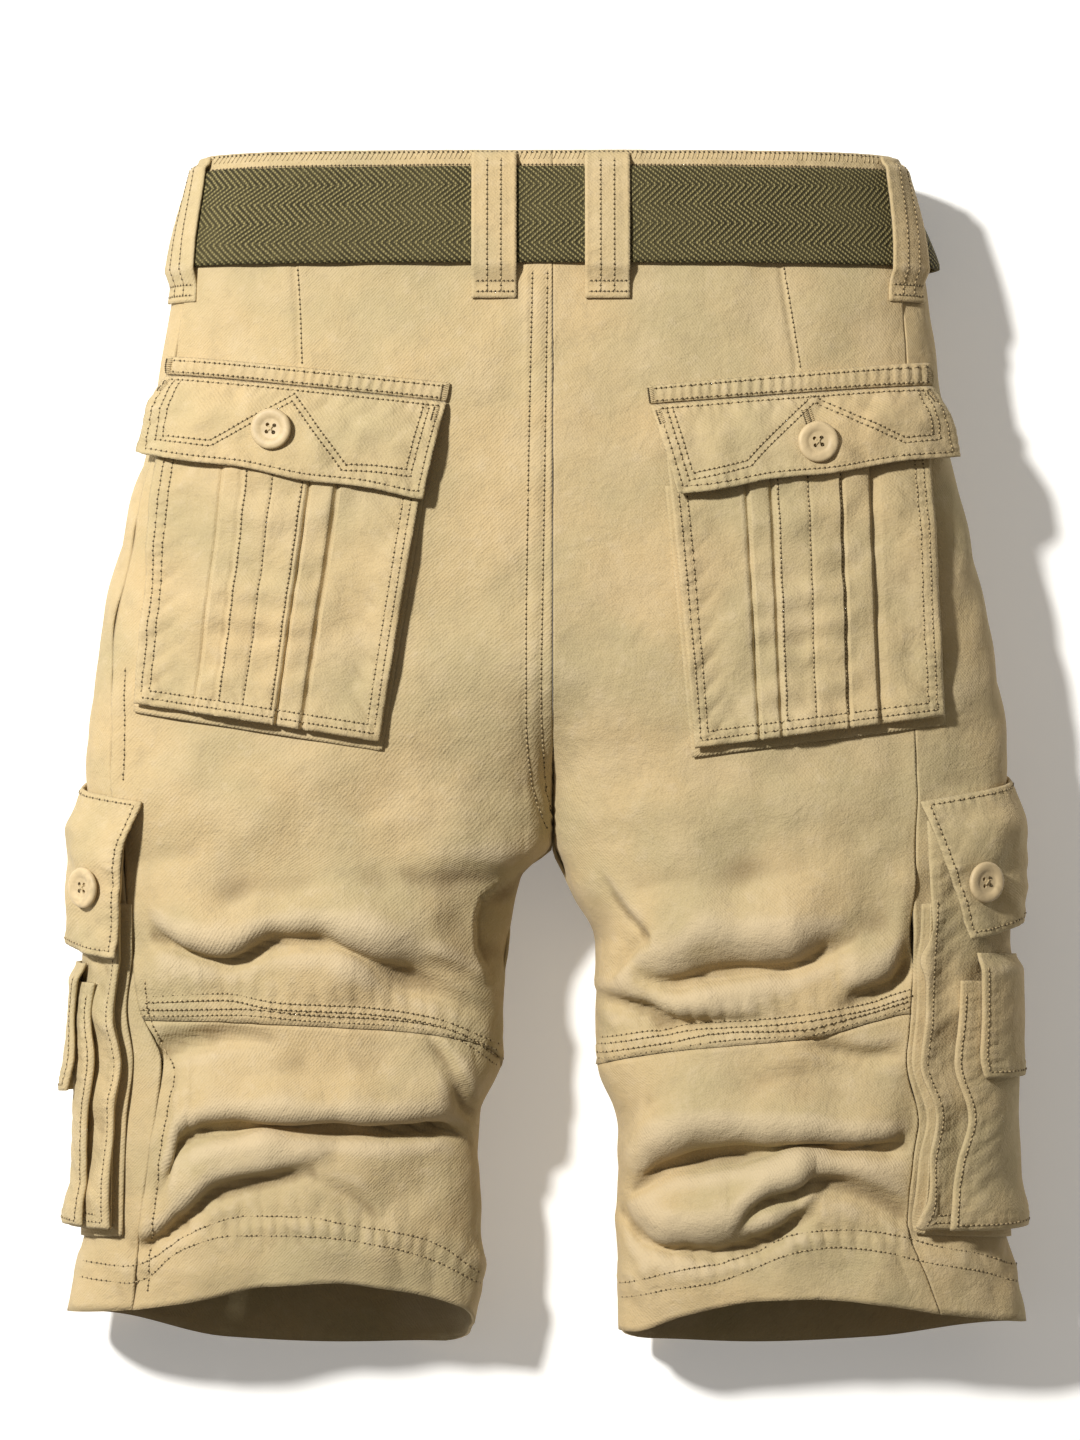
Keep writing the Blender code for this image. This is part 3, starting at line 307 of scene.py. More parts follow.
# Seams on the back panels: a name, the side, and these. dip: how far the seam draws the cloth in.
# pucker: height of the gathers beside it. pitch: from one gather to the next. middle: how far to
# its left side they are centred. reach: how far they go. points: (x, y) along it.
SEAMS = (
    ("centre_outer", "left", 0.5, 0.3, 5.6, 4.2, 4.2,
     ((-4.5, 228), (-6.5, 129.5), (-7.5, 50), (-7.5, 8), (-2.5, -22.5), (2, -34))),
    ("centre_inner", "left", 0.5, 0.2, 6.2, 3.0, 3.6,
     ((2.5, 228), (0.5, 92), (-0.5, 26.5), (2, -15.5), (4, -26))),
    ("dart_left", "left", 0.9, 0.22, 6.5, 1.5, 4.5, ((-116.5, 230), (-115, 208), (-114, 184))),
    ("dart_right", "right", 0.9, 0.22, 6.5, 1.5, 4.5, ((111.5, 230.5), (119, 182))),
    ("knee_left_low", "left", 0.7, 0.5, 4.8, 4.4, 4.6,
     ((-189, -122), (-136.5, -121), (-112.5, -123.5), (-73.5, -126), (-47, -130), (-21.5, -146.5))),
    ("knee_left_up", "left", 0.5, 0.4, 8.5, 5.0, 6.0,
     ((-186.5, -113), (-148, -111.5), (-126, -115.5), (-88.5, -117.5), (-51.5, -123), (-20, -138))),
    ("knee_right_low", "right", 0.7, 0.5, 4.8, 4.4, 4.6,
     ((27, -143.5), (50, -139), (92.5, -132.5), (121, -130.5), (152, -123.5), (172.5, -117.5))),
    ("knee_right_up", "right", 0.5, 0.4, 8.5, 5.0, 6.0,
     ((27, -134), (65.5, -127), (113, -122.5), (152.5, -116), (173, -109.5))),
    ("hem_left_up", "left", 0.6, 0.5, 9.5, 4.0, 7.0,
     ((-217.5, -239.5), (-193.5, -240.5), (-184, -237), (-159.5, -221), (-139.5, -216),
      (-109.5, -216), (-89, -220), (-66.5, -224), (-47.5, -231), (-32.5, -245))),
    ("hem_left_low", "left", 0.6, 0.62, 6.2, 4.4, 5.0,
     ((-219.5, -247), (-193.5, -248.5), (-184, -244.5), (-173.5, -234), (-146, -225),
      (-108.5, -225), (-78.5, -229), (-48.5, -239), (-31, -251))),
    ("hem_right_up", "right", 0.6, 0.5, 9.5, 4.0, 7.0,
     ((37, -251), (62, -243), (82.5, -239.5), (99, -233.5), (123.5, -223.5), (144, -222),
      (165, -224.5), (186, -230.5), (207.5, -235), (228, -243.5))),
    ("hem_right_low", "right", 0.6, 0.62, 6.2, 4.4, 5.0,
     ((37, -258), (62, -251), (82.5, -247.5), (99, -241), (117, -233.5), (137.5, -230.5),
      (158.5, -232), (179.5, -237.5), (207.5, -243), (228, -251))),
    ("side_left_top", "left", 0.5, 0.3, 6.0, 0.0, 5.0, ((-196.5, 42.5), (-197, -11))),
    ("side_left_low", "left", 0.6, 0.35, 6.5, 0.0, 5.0,
     ((-186, -104.5), (-186, -118), (-184, -126), (-178, -137), (-173, -146), (-175, -160),
      (-178, -180), (-181.5, -207), (-184, -226), (-186, -252))),
)
KNEE_BAND = 12.0      # the doubled cloth above the knee seam
HEM_BAND = 32.0       # the turned-up hem
SEAM_RISE = 0.8       # how far doubled cloth stands over single cloth
# Creases finer than the folds above, in the same columns
FINE_FOLDS = {
    "left": (
        ((-54, -132, 0, 0, 5), (-49, -138.5, 2, 1.5, 6), (-41, -155.5, 3, 2, 6),
         (-33.5, -176, 0, 0, 5)),
        ((-110, -196, 0, 0, 5), (-104.5, -199, 1.5, 1, 5), (-90, -205.5, 1.5, 1, 6),
         (-75.5, -215.5, 0, 0, 5)),
        ((-60, -92, 0, 0, 5), (-44, -100, 2, 1.2, 6), (-30, -108, 2, 1.2, 6), (-20, -113, 0, 0, 5)),
    ),
    "right": (
        ((100, -150, 0, 0, 5), (124, -146, 1.6, 1, 6), (150, -148, 1.6, 1, 6),
         (168, -154, 0, 0, 5)),
        ((24, -52, 0, 0, 4), (35, -68, 1.8, 1.8, 4.5), (48, -83, 2.4, 2.4, 4.5),
         (53, -90, 0, 0, 4)),
        ((53, -80, 0, 0, 4), (47, -86, 2.4, 2.4, 4.5), (36, -98, 2.2, 2.6, 4.5),
         (30, -105, 0, 0, 4)),
    ),
}
FINE_WIDTH = 2.6
# The left leg's inner side, sunk between a crisp edge and the outline: level, x of that edge, depth
RECESS = ((-118, -17, 0), (-112, -21, 7), (-106, -25, 9), (-91, -32, 10), (-76, -32.5, 10),
          (-68, -30, 10), (-62, -22, 8), (-56, -12, 0))
FOLD_SHARPEN = 0.42   # how much more the folds rise and sink than the solids'
LEAN_STEP = 8.0       # over which a fold's slope across the leg is read

# Unevenness of the cloth: the waves' lengths, and their heights
PANEL_RIPPLES = (80, 45, 24), (1.15, 0.7, 0.22)
INNER_RIPPLES = (60, 30), (0.5, 0.4)
FACE_RIPPLES = (50, 26, 14), (0.9, 0.5, 0.12)
FLAP_RIPPLES = (36, 20, 12), (0.85, 0.45, 0.14)
BAND_RIPPLES = (60, 14), (0.35, 0.15)
BELT_RIPPLES = (90, 45), (0.3, 0.2)

# Rows of stitches on the panels: the seam that they follow, and how far to its waist side
PANEL_ROWS = (
    ("centre_outer", 0.0), ("centre_inner", 0.0), ("dart_left", 1.8), ("dart_right", 1.8),
    ("knee_left_low", 0.0), ("knee_left_low", 3.0), ("knee_left_up", -2.4), ("knee_left_up", 0.6),
    ("knee_right_low", 0.0), ("knee_right_low", 3.0), ("knee_right_up", -2.4),
    ("knee_right_up", 0.6), ("hem_left_up", 0.0), ("hem_left_low", 0.0), ("hem_right_up", 0.0),
    ("hem_right_low", 0.0), ("side_left_top", 0.0), ("side_left_low", 0.0),
)

# Rows of stitches on the patches: points (across, down) in millimetres from the patch's top start
# corner, or back from its far edges where negative. None stands for the edge itself.
PATCH_ROWS = {
    "flap": (((3, 2), (3, -3), (-3, -3), (-3, 2)), ((3, 2.2), (-3, 2.2))),
    "back_face": (((3.6, 20), (3.6, -3.6), (-3.6, -3.6), (-3.6, 20)),
                  ((7.4, 20), (7.4, -7.4), (-7.4, -7.4), (-7.4, 20))),
    "cargo_face": (((3.6, 40), (3.6, -3.6), (-3.6, -3.6)), ((7.4, -7.4), (-7.4, -7.4))),
    "small": (((2.8, 6), (2.8, -2.8), (-2.8, -2.8), (-2.8, 6)),),
    "welt": (((2, 1.8), (-2, 1.8)), ((2, -1.4), (-2, -1.4))),
}
# The peaked double row on a back flap, in shares across and down
PEAKS = {
    "left": ((0.045, 0.06), (0.05, 0.80), (0.235, 0.80), (0.47, 0.18), (0.70, 0.86), (0.94, 0.80),
             (0.945, 0.08)),
    "right": ((0.05, 0.06), (0.05, 0.86), (0.28, 0.81), (0.565, 0.125), (0.83, 0.76), (0.95, 0.74),
              (0.955, 0.06)),
}
PEAK_SPACING = 2.8
FLAP_LIFT = {"back": {"left": 1.2, "right": 2.6}, "cargo": {"left": 0.6, "right": 0.8}}
RIM_ROUND = 0.55      # how far a stitched edge rolls down
PLEAT_TILT = {"left": 0.008, "right": -0.042}     # how far the pleats lean as they go down
FACE_PUCKER = {"back": 0.5, "cargo": 0.36}
PLEAT_ROWS = {"left": (0.345, 0.44, 0.552), "right": (0.396, 0.512, 0.636)}

# Spacing of the cloth's points: across and down
PANEL_GRID = (1.15, 2.7)
FACE_GRID = (1.3, 1.25)
PATCH_GRID = (1.5, 1.5)
FLAP_GRID = (1.05, 1.05)
FRONT_GRID = (5.0, 4.0)
WELT_GRID = (1.1, 0.9)
PANEL_SIZES = {"upper": (215, 365, PANEL_GRID), "lower": (215, 132, PANEL_GRID),
               "front": (330, 520, FRONT_GRID)}
# Across a front: close together where it shows beside the back, and wider underneath
FRONT_STEPS = np.concatenate([np.linspace(0, 0.2, 52), np.linspace(0.2, 1, 44)[1:]])
# Flat cuts in metres: width, length and area
CUTS = {
    "upper": (0.245, 0.372, 0.0800),
    "lower": (0.230, 0.140, 0.0270),
    "front": (0.345, 0.530, 0.1420),
    "waistband": (0.800, 0.045, 0.0355),
    "belt": (0.780, 0.0455, 0.0345),
    "loop": (0.021, 0.072, 0.0015),
    "fly_facing": (0.040, 0.150, 0.0058),
}
LEAST_CUT = 0.0102    # no cut is narrower

# Stitches
STITCH_SHARE = 0.68   # how much of the pitch a stitch takes
STITCH_LIFT = 0.18    # how far the thread's middle stands over the cloth

# Finishes
INSIDE_SHADE = 0.7    # painted shade: the cloth's wrong side darkened against its right side, for the dim inside of the legs
WEBBING_RIB = 2.7     # across the belt, from rib to rib
WEBBING_ROW = 9.1     # across the belt, height of one row of the herringbone
WEBBING_SLANT = 0.7   # how steeply the ribs climb
WEBBING_TWIST = 2.1   # along a rib, from one turn of the yarn to the next
TWILL_RIBS = 330.0    # scale of the twill's fine ribs
# Ridges and dips of the cloth: its ridges are turned paler by rubbing and a painted highlight, and
# its dips take painted shade
RIDGE_STEPS = ((1, 0.18), (2, 0.5))     # grid steps to each side, and the height that counts as 1

# Stage, in metres and watts
KEY_PLACE = (-1.18, 0.95, 1.9)
KEY_POWER = 78.0
KEY_SIZE = 0.2
KEY_COLOUR = (1.0, 0.985, 0.95)
FILL_PLACE = (-0.8, 0.9, 2.0)
FILL_POWER = 0.42
FILL_SPREAD = 110.0
ROOM_COLOUR = (1.0, 0.90, 0.76)
ROOM_POWER = 0.13
FLOOR_GLOW = 0.19
CAMERA_PLACE = (-0.001, 0.0174, 2.2)
VIEW_HALF, VIEW_RUN = 345.6, 2165.0    # half the picture's height, at this far from the camera


def run_along(points):
    """How far along a line each of its points lies."""
    return np.concatenate([[0], np.cumsum(np.linalg.norm(np.diff(points, axis=0), axis=1))])


def bell(away, width):
    """A soft bump: 1 in its middle, and dying away over a width."""
    return np.exp(-(away / width) ** 2)


def soft_line(points, step=5.0):
    """A line of points rounded at its corners."""
    points = np.array(points, float)
    run = run_along(points)
    at = np.linspace(0, run[-1], max(2, int(run[-1] / step)))
    line = np.stack([smooth(run, points[:, i], at) for i in (0, 1)], axis=1)
    for _ in range(2):
        line[1:-1] = (line[:-2] + 2 * line[1:-1] + line[2:]) / 4
    return line


def smooth(places, values, at):
    """A curve through the values that never overshoots between two of them."""
    places, values = np.asarray(places, float), np.asarray(values, float)
    at = np.clip(np.asarray(at, float), places[0], places[-1])
    gap = np.diff(places)
    rise = np.diff(values) / gap
    slope = np.zeros_like(values)
    slope[0], slope[-1] = rise[0], rise[-1]
    before, after = rise[:-1], rise[1:]
    turn = before * after > 0
    slope[1:-1][turn] = 2 * before[turn] * after[turn] / (before[turn] + after[turn])
    i = np.clip(np.searchsorted(places, at, side="right") - 1, 0, len(places) - 2)
    u = (at - places[i]) / gap[i]
    return (values[i] * (1 + 2 * u) * (1 - u) ** 2 + values[i + 1] * u * u * (3 - 2 * u)
            + gap[i] * (slope[i] * u * (1 - u) ** 2 - slope[i + 1] * u * u * (1 - u)))


def column(rows, columns, name, at):
    """A table's named column, read between its rows by the first column."""
    rows = sorted(rows)
    index = columns.index(name)
    return smooth([row[0] for row in rows], [row[index] for row in rows], at)


def body_size(side, name, level):
    """One of the sizes in SECTIONS at a level."""
    return column(SECTIONS[side], SECTION_COLUMNS, name, level)


def edge_level(table, side, around):
    """The level of the knee seam or the hem round the leg."""
    return column(table, EDGE_COLUMNS, side, around)


def ease(value):
    """A soft step from 0 to 1."""
    value = np.clip(value, 0.0, 1.0)
    return value * value * (3 - 2 * value)


def arc(turn, power):
    """A point on a rounded-square arc of size 1."""
    across, up = np.cos(turn), np.sin(turn)
    return np.sign(across) * np.abs(across) ** (2 / power), np.abs(up) ** (2 / power)


TOP_STEPS, UNDER_STEPS = 80, 120
AROUND = np.concatenate([np.linspace(0, 1, TOP_STEPS + 1), np.linspace(1, 2, UNDER_STEPS + 1)[1:]])
LEVELS = np.arange(-296.0, 297.0, 2.0)


def evenly(x, z, steps):
    """The same line with its points at even distances."""
    run = run_along(np.stack([x, z], axis=1))
    at = np.linspace(0, run[-1], steps + 1)
    return np.interp(at, run, x), np.interp(at, run, z)


def half_section(start, edge, seam, crown, side, low, power, closed):
    """One half of the seat (start is its centre) or one whole leg (start is its inside)."""
    middle = (start + edge) / 2 if closed else start
    half = edge - middle
    at_seam = math.acos(min(0.999, abs((seam - middle) / half) ** (power / 2)))

    def over(first, last, steps):
        across, up = arc(np.linspace(first, last, steps), power)
        return middle + half * across, side + (crown - side) * up

    def under(place, inward, first, last):
        across, up = arc(np.linspace(first, last, 80), UNDER_POWER)
        return place + inward * (1 - across), low + (side - low) * (1 - up)

    right = math.pi / 2
    sign = math.copysign(1, half)
    top = evenly(*over(math.pi if closed else right, at_seam, 200), TOP_STEPS)
    line = [over(at_seam, 0, 60), under(edge, -sign * OUTER_CORNER, 0, right)]
    if closed:
        line.append(under(start, sign * INNER_CORNER, right, 0))
    else:
        line.append((np.array([start]), np.array([low])))
    foot = evenly(*(np.concatenate([part[i] for part in line]) for i in (0, 1)), UNDER_STEPS)
    return np.stack([np.concatenate([top[i], foot[i][1:]]) for i in (0, 1)])


def section(side, level):
    """The cut across one half at a level: a row of (x, z) for each step of AROUND."""
    value = {name: float(body_size(side, name, level)) for name in SECTION_COLUMNS[1:]}
    low = FRONT_LIFT * float(ease((level - LIFT_FROM) / (LIFT_TO - LIFT_FROM)))
    fork = float(ease((FORK_START - level) / (FORK_START - CROTCH_LEVEL)))
    shape = (value["edge"], value["seam"], value["crown"], value["side"], low)
    seat = half_section(CENTRE, *shape, SEAT_POWER, False)
    leg = half_section(value["inner"], *shape, LEG_POWER, True)
    return seat * (1 - fork) + leg * fork


BODY = {side: np.array([section(side, level) for level in LEVELS]) for side in SECTIONS}


def rows_at(level):
    """The row of BODY below a level, and how far the level is past it."""
    at = np.clip((level - LEVELS[0]) / (LEVELS[1] - LEVELS[0]), 0, len(LEVELS) - 1.001)
    row = np.floor(at).astype(int)
    return row, at - row


def bare(side, around, level):
    """Points (x, y, z) of the filled-out body without its folds."""
    around, level = np.broadcast_arrays(np.asarray(around, float), np.asarray(level, float))
    at = np.interp(around, AROUND, np.arange(len(AROUND)))
    at = np.clip(at, 0, len(AROUND) - 1.001)
    step = np.floor(at).astype(int)
    part = at - step
    row, mix = rows_at(level)
    x, z = (sum((table[row + i, step] * (1 - part) + table[row + i, step + 1] * part) * share
                for i, share in ((0, 1 - mix), (1, mix)))
            for table in (BODY[side][:, axis, :] for axis in (0, 1)))
    return np.stack([x, level, z], axis=-1)


def lean(line, x):
    """How much longer the way up to a fold is than the way straight to it."""
    ahead, behind = (smooth(line[:, 0], line[:, 1], x + step) for step in (LEAN_STEP, -LEAN_STEP))
    slope = np.clip((ahead - behind) / (2 * LEAN_STEP), -1, 1)
    return np.sqrt(1 + slope ** 2)


def fold_lines(table, x):
    """Each fold's line, its level at x, and its roll, crease and reach there."""
    for rows in table:
        line = np.array(rows, float)
        yield (line, *(smooth(line[:, 0], line[:, i], x) for i in (1, 2, 3, 4)))


def fold_height(side, x, y):
    """How far the folds lift or sink the cloth at a place on the back of the leg."""
    total = np.zeros(np.shape(x))
    for line, level, roll, crease, reach in fold_lines(FOLDS[side], x):
        away = (y - level) / lean(line, x)
        beyond = away - reach
        width = np.where(beyond > 0, ROLL_BACK, np.maximum(0.55 * reach, 4.0))
        total += roll * bell(beyond, width) - crease * bell(away, CREASE_WIDTH)
    return total


def skin(side, around, level):
    """Points of the panels' outer surface, folds and all."""
    points = bare(side, around, level)
    low, crown = (body_size(side, name, points[..., 1]) for name in ("side", "crown"))
    share = ease((points[..., 2] - low) / (0.55 * (crown - low)))
    share = np.where(np.asarray(around) < 1.35, share, 0.0)
    points[..., 2] += share * fold_height(side, points[..., 0], points[..., 1])
    return points


def outward(side, around, level):
    """The outer surface's direction at its points."""
    step_around, step_level = 0.004, 0.8
    across = (skin(side, np.clip(around + step_around, 0, 2), level)
              - skin(side, np.clip(around - step_around, 0, 2), level))
    along = skin(side, around, level + step_level) - skin(side, around, level - step_level)
    normal = np.cross(across, along) * (1 if side == "right" else -1)
    return normal / np.linalg.norm(normal, axis=-1, keepdims=True)


def moved_out(side, around, level, out):
    """Points at a height out from the outer surface, or under it where out is negative."""
    around, level, out = np.broadcast_arrays(*(np.asarray(v, float) for v in (around, level, out)))
    return skin(side, around, level) + outward(side, around, level) * out[..., None]


def row_at(side, level):
    """One cut, read between two rows of BODY."""
    row, mix = rows_at(level)
    return BODY[side][row] * (1 - mix) + BODY[side][row + 1] * mix


def top_around(side, x, level, under=False):
    """Where a place x on the back, or on the underside, lies round the cut."""
    sign = 1 if side == "right" else -1
    out = row_at(side, level)[0] * sign
    edge = int(np.argmax(out))
    part = slice(edge, None) if under else slice(edge + 1)
    turn = -1 if under else 1
    return float(np.interp(x * sign, out[part][::turn], AROUND[part][::turn]))


def under_around(side, x, level):
    """Where a place x on the underside lies round the cut."""
    return top_around(side, x, level, under=True)


def side_around(side, run, level):
    """Where a place at a run outwards from the cargo pocket's back edge lies round the cut."""
    length = run_along(row_at(side, level).T)
    edge = top_around(side, float(body_size(side, "pocket", level)), level)
    start = float(np.interp(edge, AROUND, length))
    return float(np.interp(start + run, length, AROUND))


FINDERS = {"top": top_around, "under": under_around, "side": side_around}


def around_of(laid, side, x, level):
    """Where each of a list of places lies round the cut; laid says what x is."""
    return np.array([FINDERS[laid](side, a, b) for a, b in zip(x, level)])


def place(patch, across, down, out):
    """Points of a patch at shares across and down it, at a height out from the panel."""
    side, laid, corners = PATCHES[patch]
    across, down, out = np.broadcast_arrays(*(np.asarray(v, float) for v in (across, down, out)))
    start, end, foot_start, foot_end = np.array(corners, float)
    a, b = across[..., None], down[..., None]
    spot = (1 - b) * ((1 - a) * start + a * end) + b * ((1 - a) * foot_start + a * foot_end)
    around = around_of(laid, side, *spot.reshape(-1, 2).T)
    return moved_out(side, around.reshape(across.shape), spot[..., 1], out)


def patch_size(patch):
    """A patch's width and height."""
    start, end, foot_start, foot_end = np.array(PATCHES[patch][2], float)
    width = (np.linalg.norm(end - start) + np.linalg.norm(foot_end - foot_start)) / 2
    height = (np.linalg.norm(foot_start - start) + np.linalg.norm(foot_end - end)) / 2
    return width, height


def along_line(points, x, y):
    """How far along a line of points each place lies, and how far to its left side."""
    points = np.array(points, float)
    best, at, aside = np.full(np.shape(x), np.inf), np.zeros(np.shape(x)), np.zeros(np.shape(x))
    for a, b, start in zip(points[:-1], points[1:], run_along(points)[:-1]):
        step = b - a
        length = np.hypot(*step)
        u = np.clip(((x - a[0]) * step[0] + (y - a[1]) * step[1]) / length ** 2, 0, 1)
        dx, dy = x - a[0] - u * step[0], y - a[1] - u * step[1]
        away = np.hypot(dx, dy)
        closer = away < best
        best = np.where(closer, away, best)
        at = np.where(closer, start + u * length, at)
        aside = np.where(closer, np.where(step[0] * dy - step[1] * dx >= 0, away, -away), aside)
    return at, aside


def near(points, x, y, margin):
    """The places within a margin of a line's box."""
    points = np.array(points, float)
    low, high = points.min(0) - margin, points.max(0) + margin
    return (x > low[0]) & (x < high[0]) & (y > low[1]) & (y < high[1])


def ripples(x, y, seed, sizes, heights):
    """Soft unevenness made of waves of several sizes."""
    draw = np.random.default_rng(seed)
    total = np.zeros(np.shape(x))
    for size, height in zip(sizes, heights):
        for _ in range(4):
            turn, phase, bend = draw.uniform(0, 2 * math.pi, 3)
            run = x * math.cos(turn) + y * math.sin(turn)
            cross = y * math.cos(turn) - x * math.sin(turn)
            sway = 1.6 * np.sin(2 * math.pi * cross / (1.9 * size) + bend)
            total += 0.5 * height * np.sin(2 * math.pi * run / size + phase + sway)
    return total


def gathers(run, away, seed, pucker, pitch, reach):
    """Puckers beside a row of stitches, from the run along it and the distance from it."""
    drift = np.random.default_rng(seed).uniform(0, 2 * math.pi, 3)
    phase = 2 * math.pi * run / pitch + 1.5 * np.sin(run / (2.1 * pitch) + drift[0])
    strength = 0.72 + 0.28 * np.sin(run / (3.3 * pitch) + drift[1])
    puffed = 2.1 * np.abs(np.sin((phase + drift[2] + 0.12 * away) / 2)) ** 0.75 - 1.1
    return pucker * strength * bell(away, reach) * puffed


def fine_folds(side, x, y):
    """The creases that are finer than the solids' folds."""
    total = np.zeros(np.shape(x))
    for rows in FINE_FOLDS[side]:
        line = np.array(rows, float)
        chosen = near(line[:, :2], x, y, 20)
        if not chosen.any():
            continue
        at, aside = along_line(line[:, :2], x[chosen], y[chosen])
        run = run_along(line[:, :2])
        roll, crease, reach = (smooth(run, line[:, i], at) for i in (2, 3, 4))
        beyond = aside - reach
        width = np.where(beyond > 0, 7.0, 3.2)
        total[chosen] += roll * bell(beyond, width) - crease * bell(aside, FINE_WIDTH)
    return total


def seam_relief(side, x, y):
    """How the seams draw the cloth in, and gather it beside them."""
    total = np.zeros(np.shape(x))
    for seed, (_, seam_side, dip, pucker, pitch, middle, reach, points) in enumerate(SEAMS):
        if seam_side != side:
            continue
        points = soft_line(points)
        chosen = near(points, x, y, 5 * reach)
        at, aside = along_line(points, x[chosen], y[chosen])
        drag = gathers(at + 0.5 * aside, aside, seed + 50, 0.6 * pucker, 2.6 * pitch, 3.0 * reach)
        total[chosen] += (gathers(at, aside - middle, seed, pucker, pitch, reach) + drag
                          - dip * bell(aside, 1.5))
    return total


def sharper_folds(side, x, y):
    """Draws the large folds' creases in and their rolls out, more crisply than the solids do."""
    total = np.zeros(np.shape(x))
    for rows in FOLDS[side]:
        chosen = near([row[:2] for row in rows], x, y, 45)
        a, b = x[chosen], y[chosen]
        line, level, roll, crease, reach = next(fold_lines([rows], a))
        aside = (b - level) / lean(line, a)
        end = ease((a - line[0, 0]) / 10) * ease((line[-1, 0] - a) / 10)
        narrow = np.where(aside > 0, 3.2, 2.2)
        total[chosen] += FOLD_SHARPEN * end * (
            roll * bell(aside - 0.62 * reach, 0.42 * reach) - crease * bell(aside, narrow))
    return total


def recess(points):
    """How far down the left leg's inner side sinks; its wall stays where it is."""
    rows = np.array(RECESS, float)
    side, depth = (np.interp(points[..., 1], rows[:, 0], rows[:, i]) for i in (1, 2))
    return depth * ease((points[..., 0] - side) / 1.8) * ease((points[..., 2] - 34) / 18)


def doubled(table, band, side, around, level):
    """How far the doubled cloth above the knee seam or the hem stands over single cloth."""
    return SEAM_RISE * ease((band - (level - edge_level(table, side, around))) / 2.5)


def back_relief(side, around, level, part):
    """The fine height of a back panel, over the body and its large folds."""
    points = bare(side, around, level)
    x, y = points[..., 0], points[..., 1]
    leg = ease((20 - y) / 80)
    total = ripples(x, y, 5, *PANEL_RIPPLES) * (0.6 + 0.6 * leg) + seam_relief(side, x, y)
    total += np.where(around < 1.3, 1.0, 0.0) * (fine_folds(side, x, y) + sharper_folds(side, x, y))
    if part == "upper":
        total += doubled(KNEE_SEAM, KNEE_BAND, side, around, level)
        total += 0.5 * ease((CENTRE + 1 - x) / 2) * ease((x + 9) / 2) if side == "left" else 0
        bunch = bell(y + 30, 16) * bell(x - 1, 8)
        total += 0.4 * bunch * np.sin(2 * math.pi * (y + 0.4 * x + np.sin(y / 5)) / 7.0)
    else:
        total += doubled(HEM, HEM_BAND, side, around, level)
    inseam = ease(1 - around / INSEAM_FADE) * ease((-50 - y) / 15)
    return total + (inner_ripples(points) - total) * inseam


def inner_ripples(points):
    """The fine height that the back and the front share at the inseam, which keeps it shut."""
    x, y, z = np.moveaxis(points, -1, 0)
    return ripples(x, y + z, 9, *INNER_RIPPLES) * ease((z - 1) / 8)


def front_relief(side, around, level):
    """The fine height of a front panel: flat where it rests, and gathered at the hem's side."""
    points = bare(side, around, level)
    x, y, z = np.moveaxis(points, -1, 0)
    shown = ease((1.3 - around) / 0.1) * ease((z - 8) / 10)
    turned_up = doubled(HEM, HEM_BAND, side, around, level)
    return np.maximum(inner_ripples(points)
                      + shown * (0.6 * seam_relief(side, x, y) + turned_up), -z)


def panel_spot(side, part):
    """Where a panel's cloth lies: (across, down) on the panel and a height, to a point."""
    def spot(across, down, lift=0.0):
        around = TRIM + across * (1 - 2 * TRIM)
        if part == "front":
            around = 1 + around
            level = PANEL_TOP + (edge_level(HEM, side, around) - PANEL_TOP) * down
            return moved_out(side, around, level, front_relief(side, around, level) + lift)
        knee = edge_level(KNEE_SEAM, side, around)
        if part == "upper":
            level = PANEL_TOP + (knee + KNEE_GAP - PANEL_TOP) * down
        else:
            level = knee - KNEE_GAP + (edge_level(HEM, side, around) - knee + KNEE_GAP) * down
        points = moved_out(side, around, level, back_relief(side, around, level, part) + lift)
        if part == "upper" and side == "left":
            points[..., 2] -= recess(points)
        return points
    return spot


def top_spot(side, x, y, lift):
    """A point on the back panels by (x, y)."""
    around = around_of("top", side, x, y)
    relief = np.where(y > edge_level(KNEE_SEAM, side, around),
                      back_relief(side, around, y, "upper"), back_relief(side, around, y, "lower"))
    relief = np.where(around > 1, front_relief(side, around, y), relief)
    return moved_out(side, around, y, relief + lift)


def cargo_slope(kind, across):
    """A cargo pocket lies lower towards its front edge."""
    return 1 - FRONT_SLOPE * np.asarray(across) if kind == "cargo" else np.ones_like(across)


def face_under(kind, across, down):
    """The height of a pocket face's inner side over the panel."""
    middle = column(FACE_UNDER, DOWN_COLUMNS, kind, down)
    edge = FACE_EDGE if kind == "back" else SKIN_CLEAR + (FACE_EDGE - SKIN_CLEAR) * CARGO_SCALE
    close = np.maximum(ease(1 - across / 0.16), ease(1 - (1 - across) / 0.16))
    close = np.maximum(close, ease((down - 0.86) / 0.1)) * ease((down - 0.05) / 0.12)
    return (middle + (edge - middle) * close) * cargo_slope(kind, across)


def flap_under(kind, across, down):
    """The height of a flap's inner side over the panel."""
    under = column(FLAP_UNDER, DOWN_COLUMNS, kind, down) * cargo_slope(kind, across)
    return under + 1.8 * across * ease(down / 0.25) if kind == "cargo" else under


def cargo_top(side, across, down):
    """The height of a cargo pocket's outer face under a place of the small pocket on it."""
    small, big = PATCHES[f"small_pocket_{side}"][2], PATCHES[f"cargo_pocket_{side}"][2]
    share = (small[0][0] + across * (small[1][0] - small[0][0])) / big[1][0]
    level = small[0][1] + down * (small[2][1] - small[0][1])
    low = (level - big[0][1]) / (big[2][1] - big[0][1])
    return face_under("cargo", share, low) + FACE_THICK


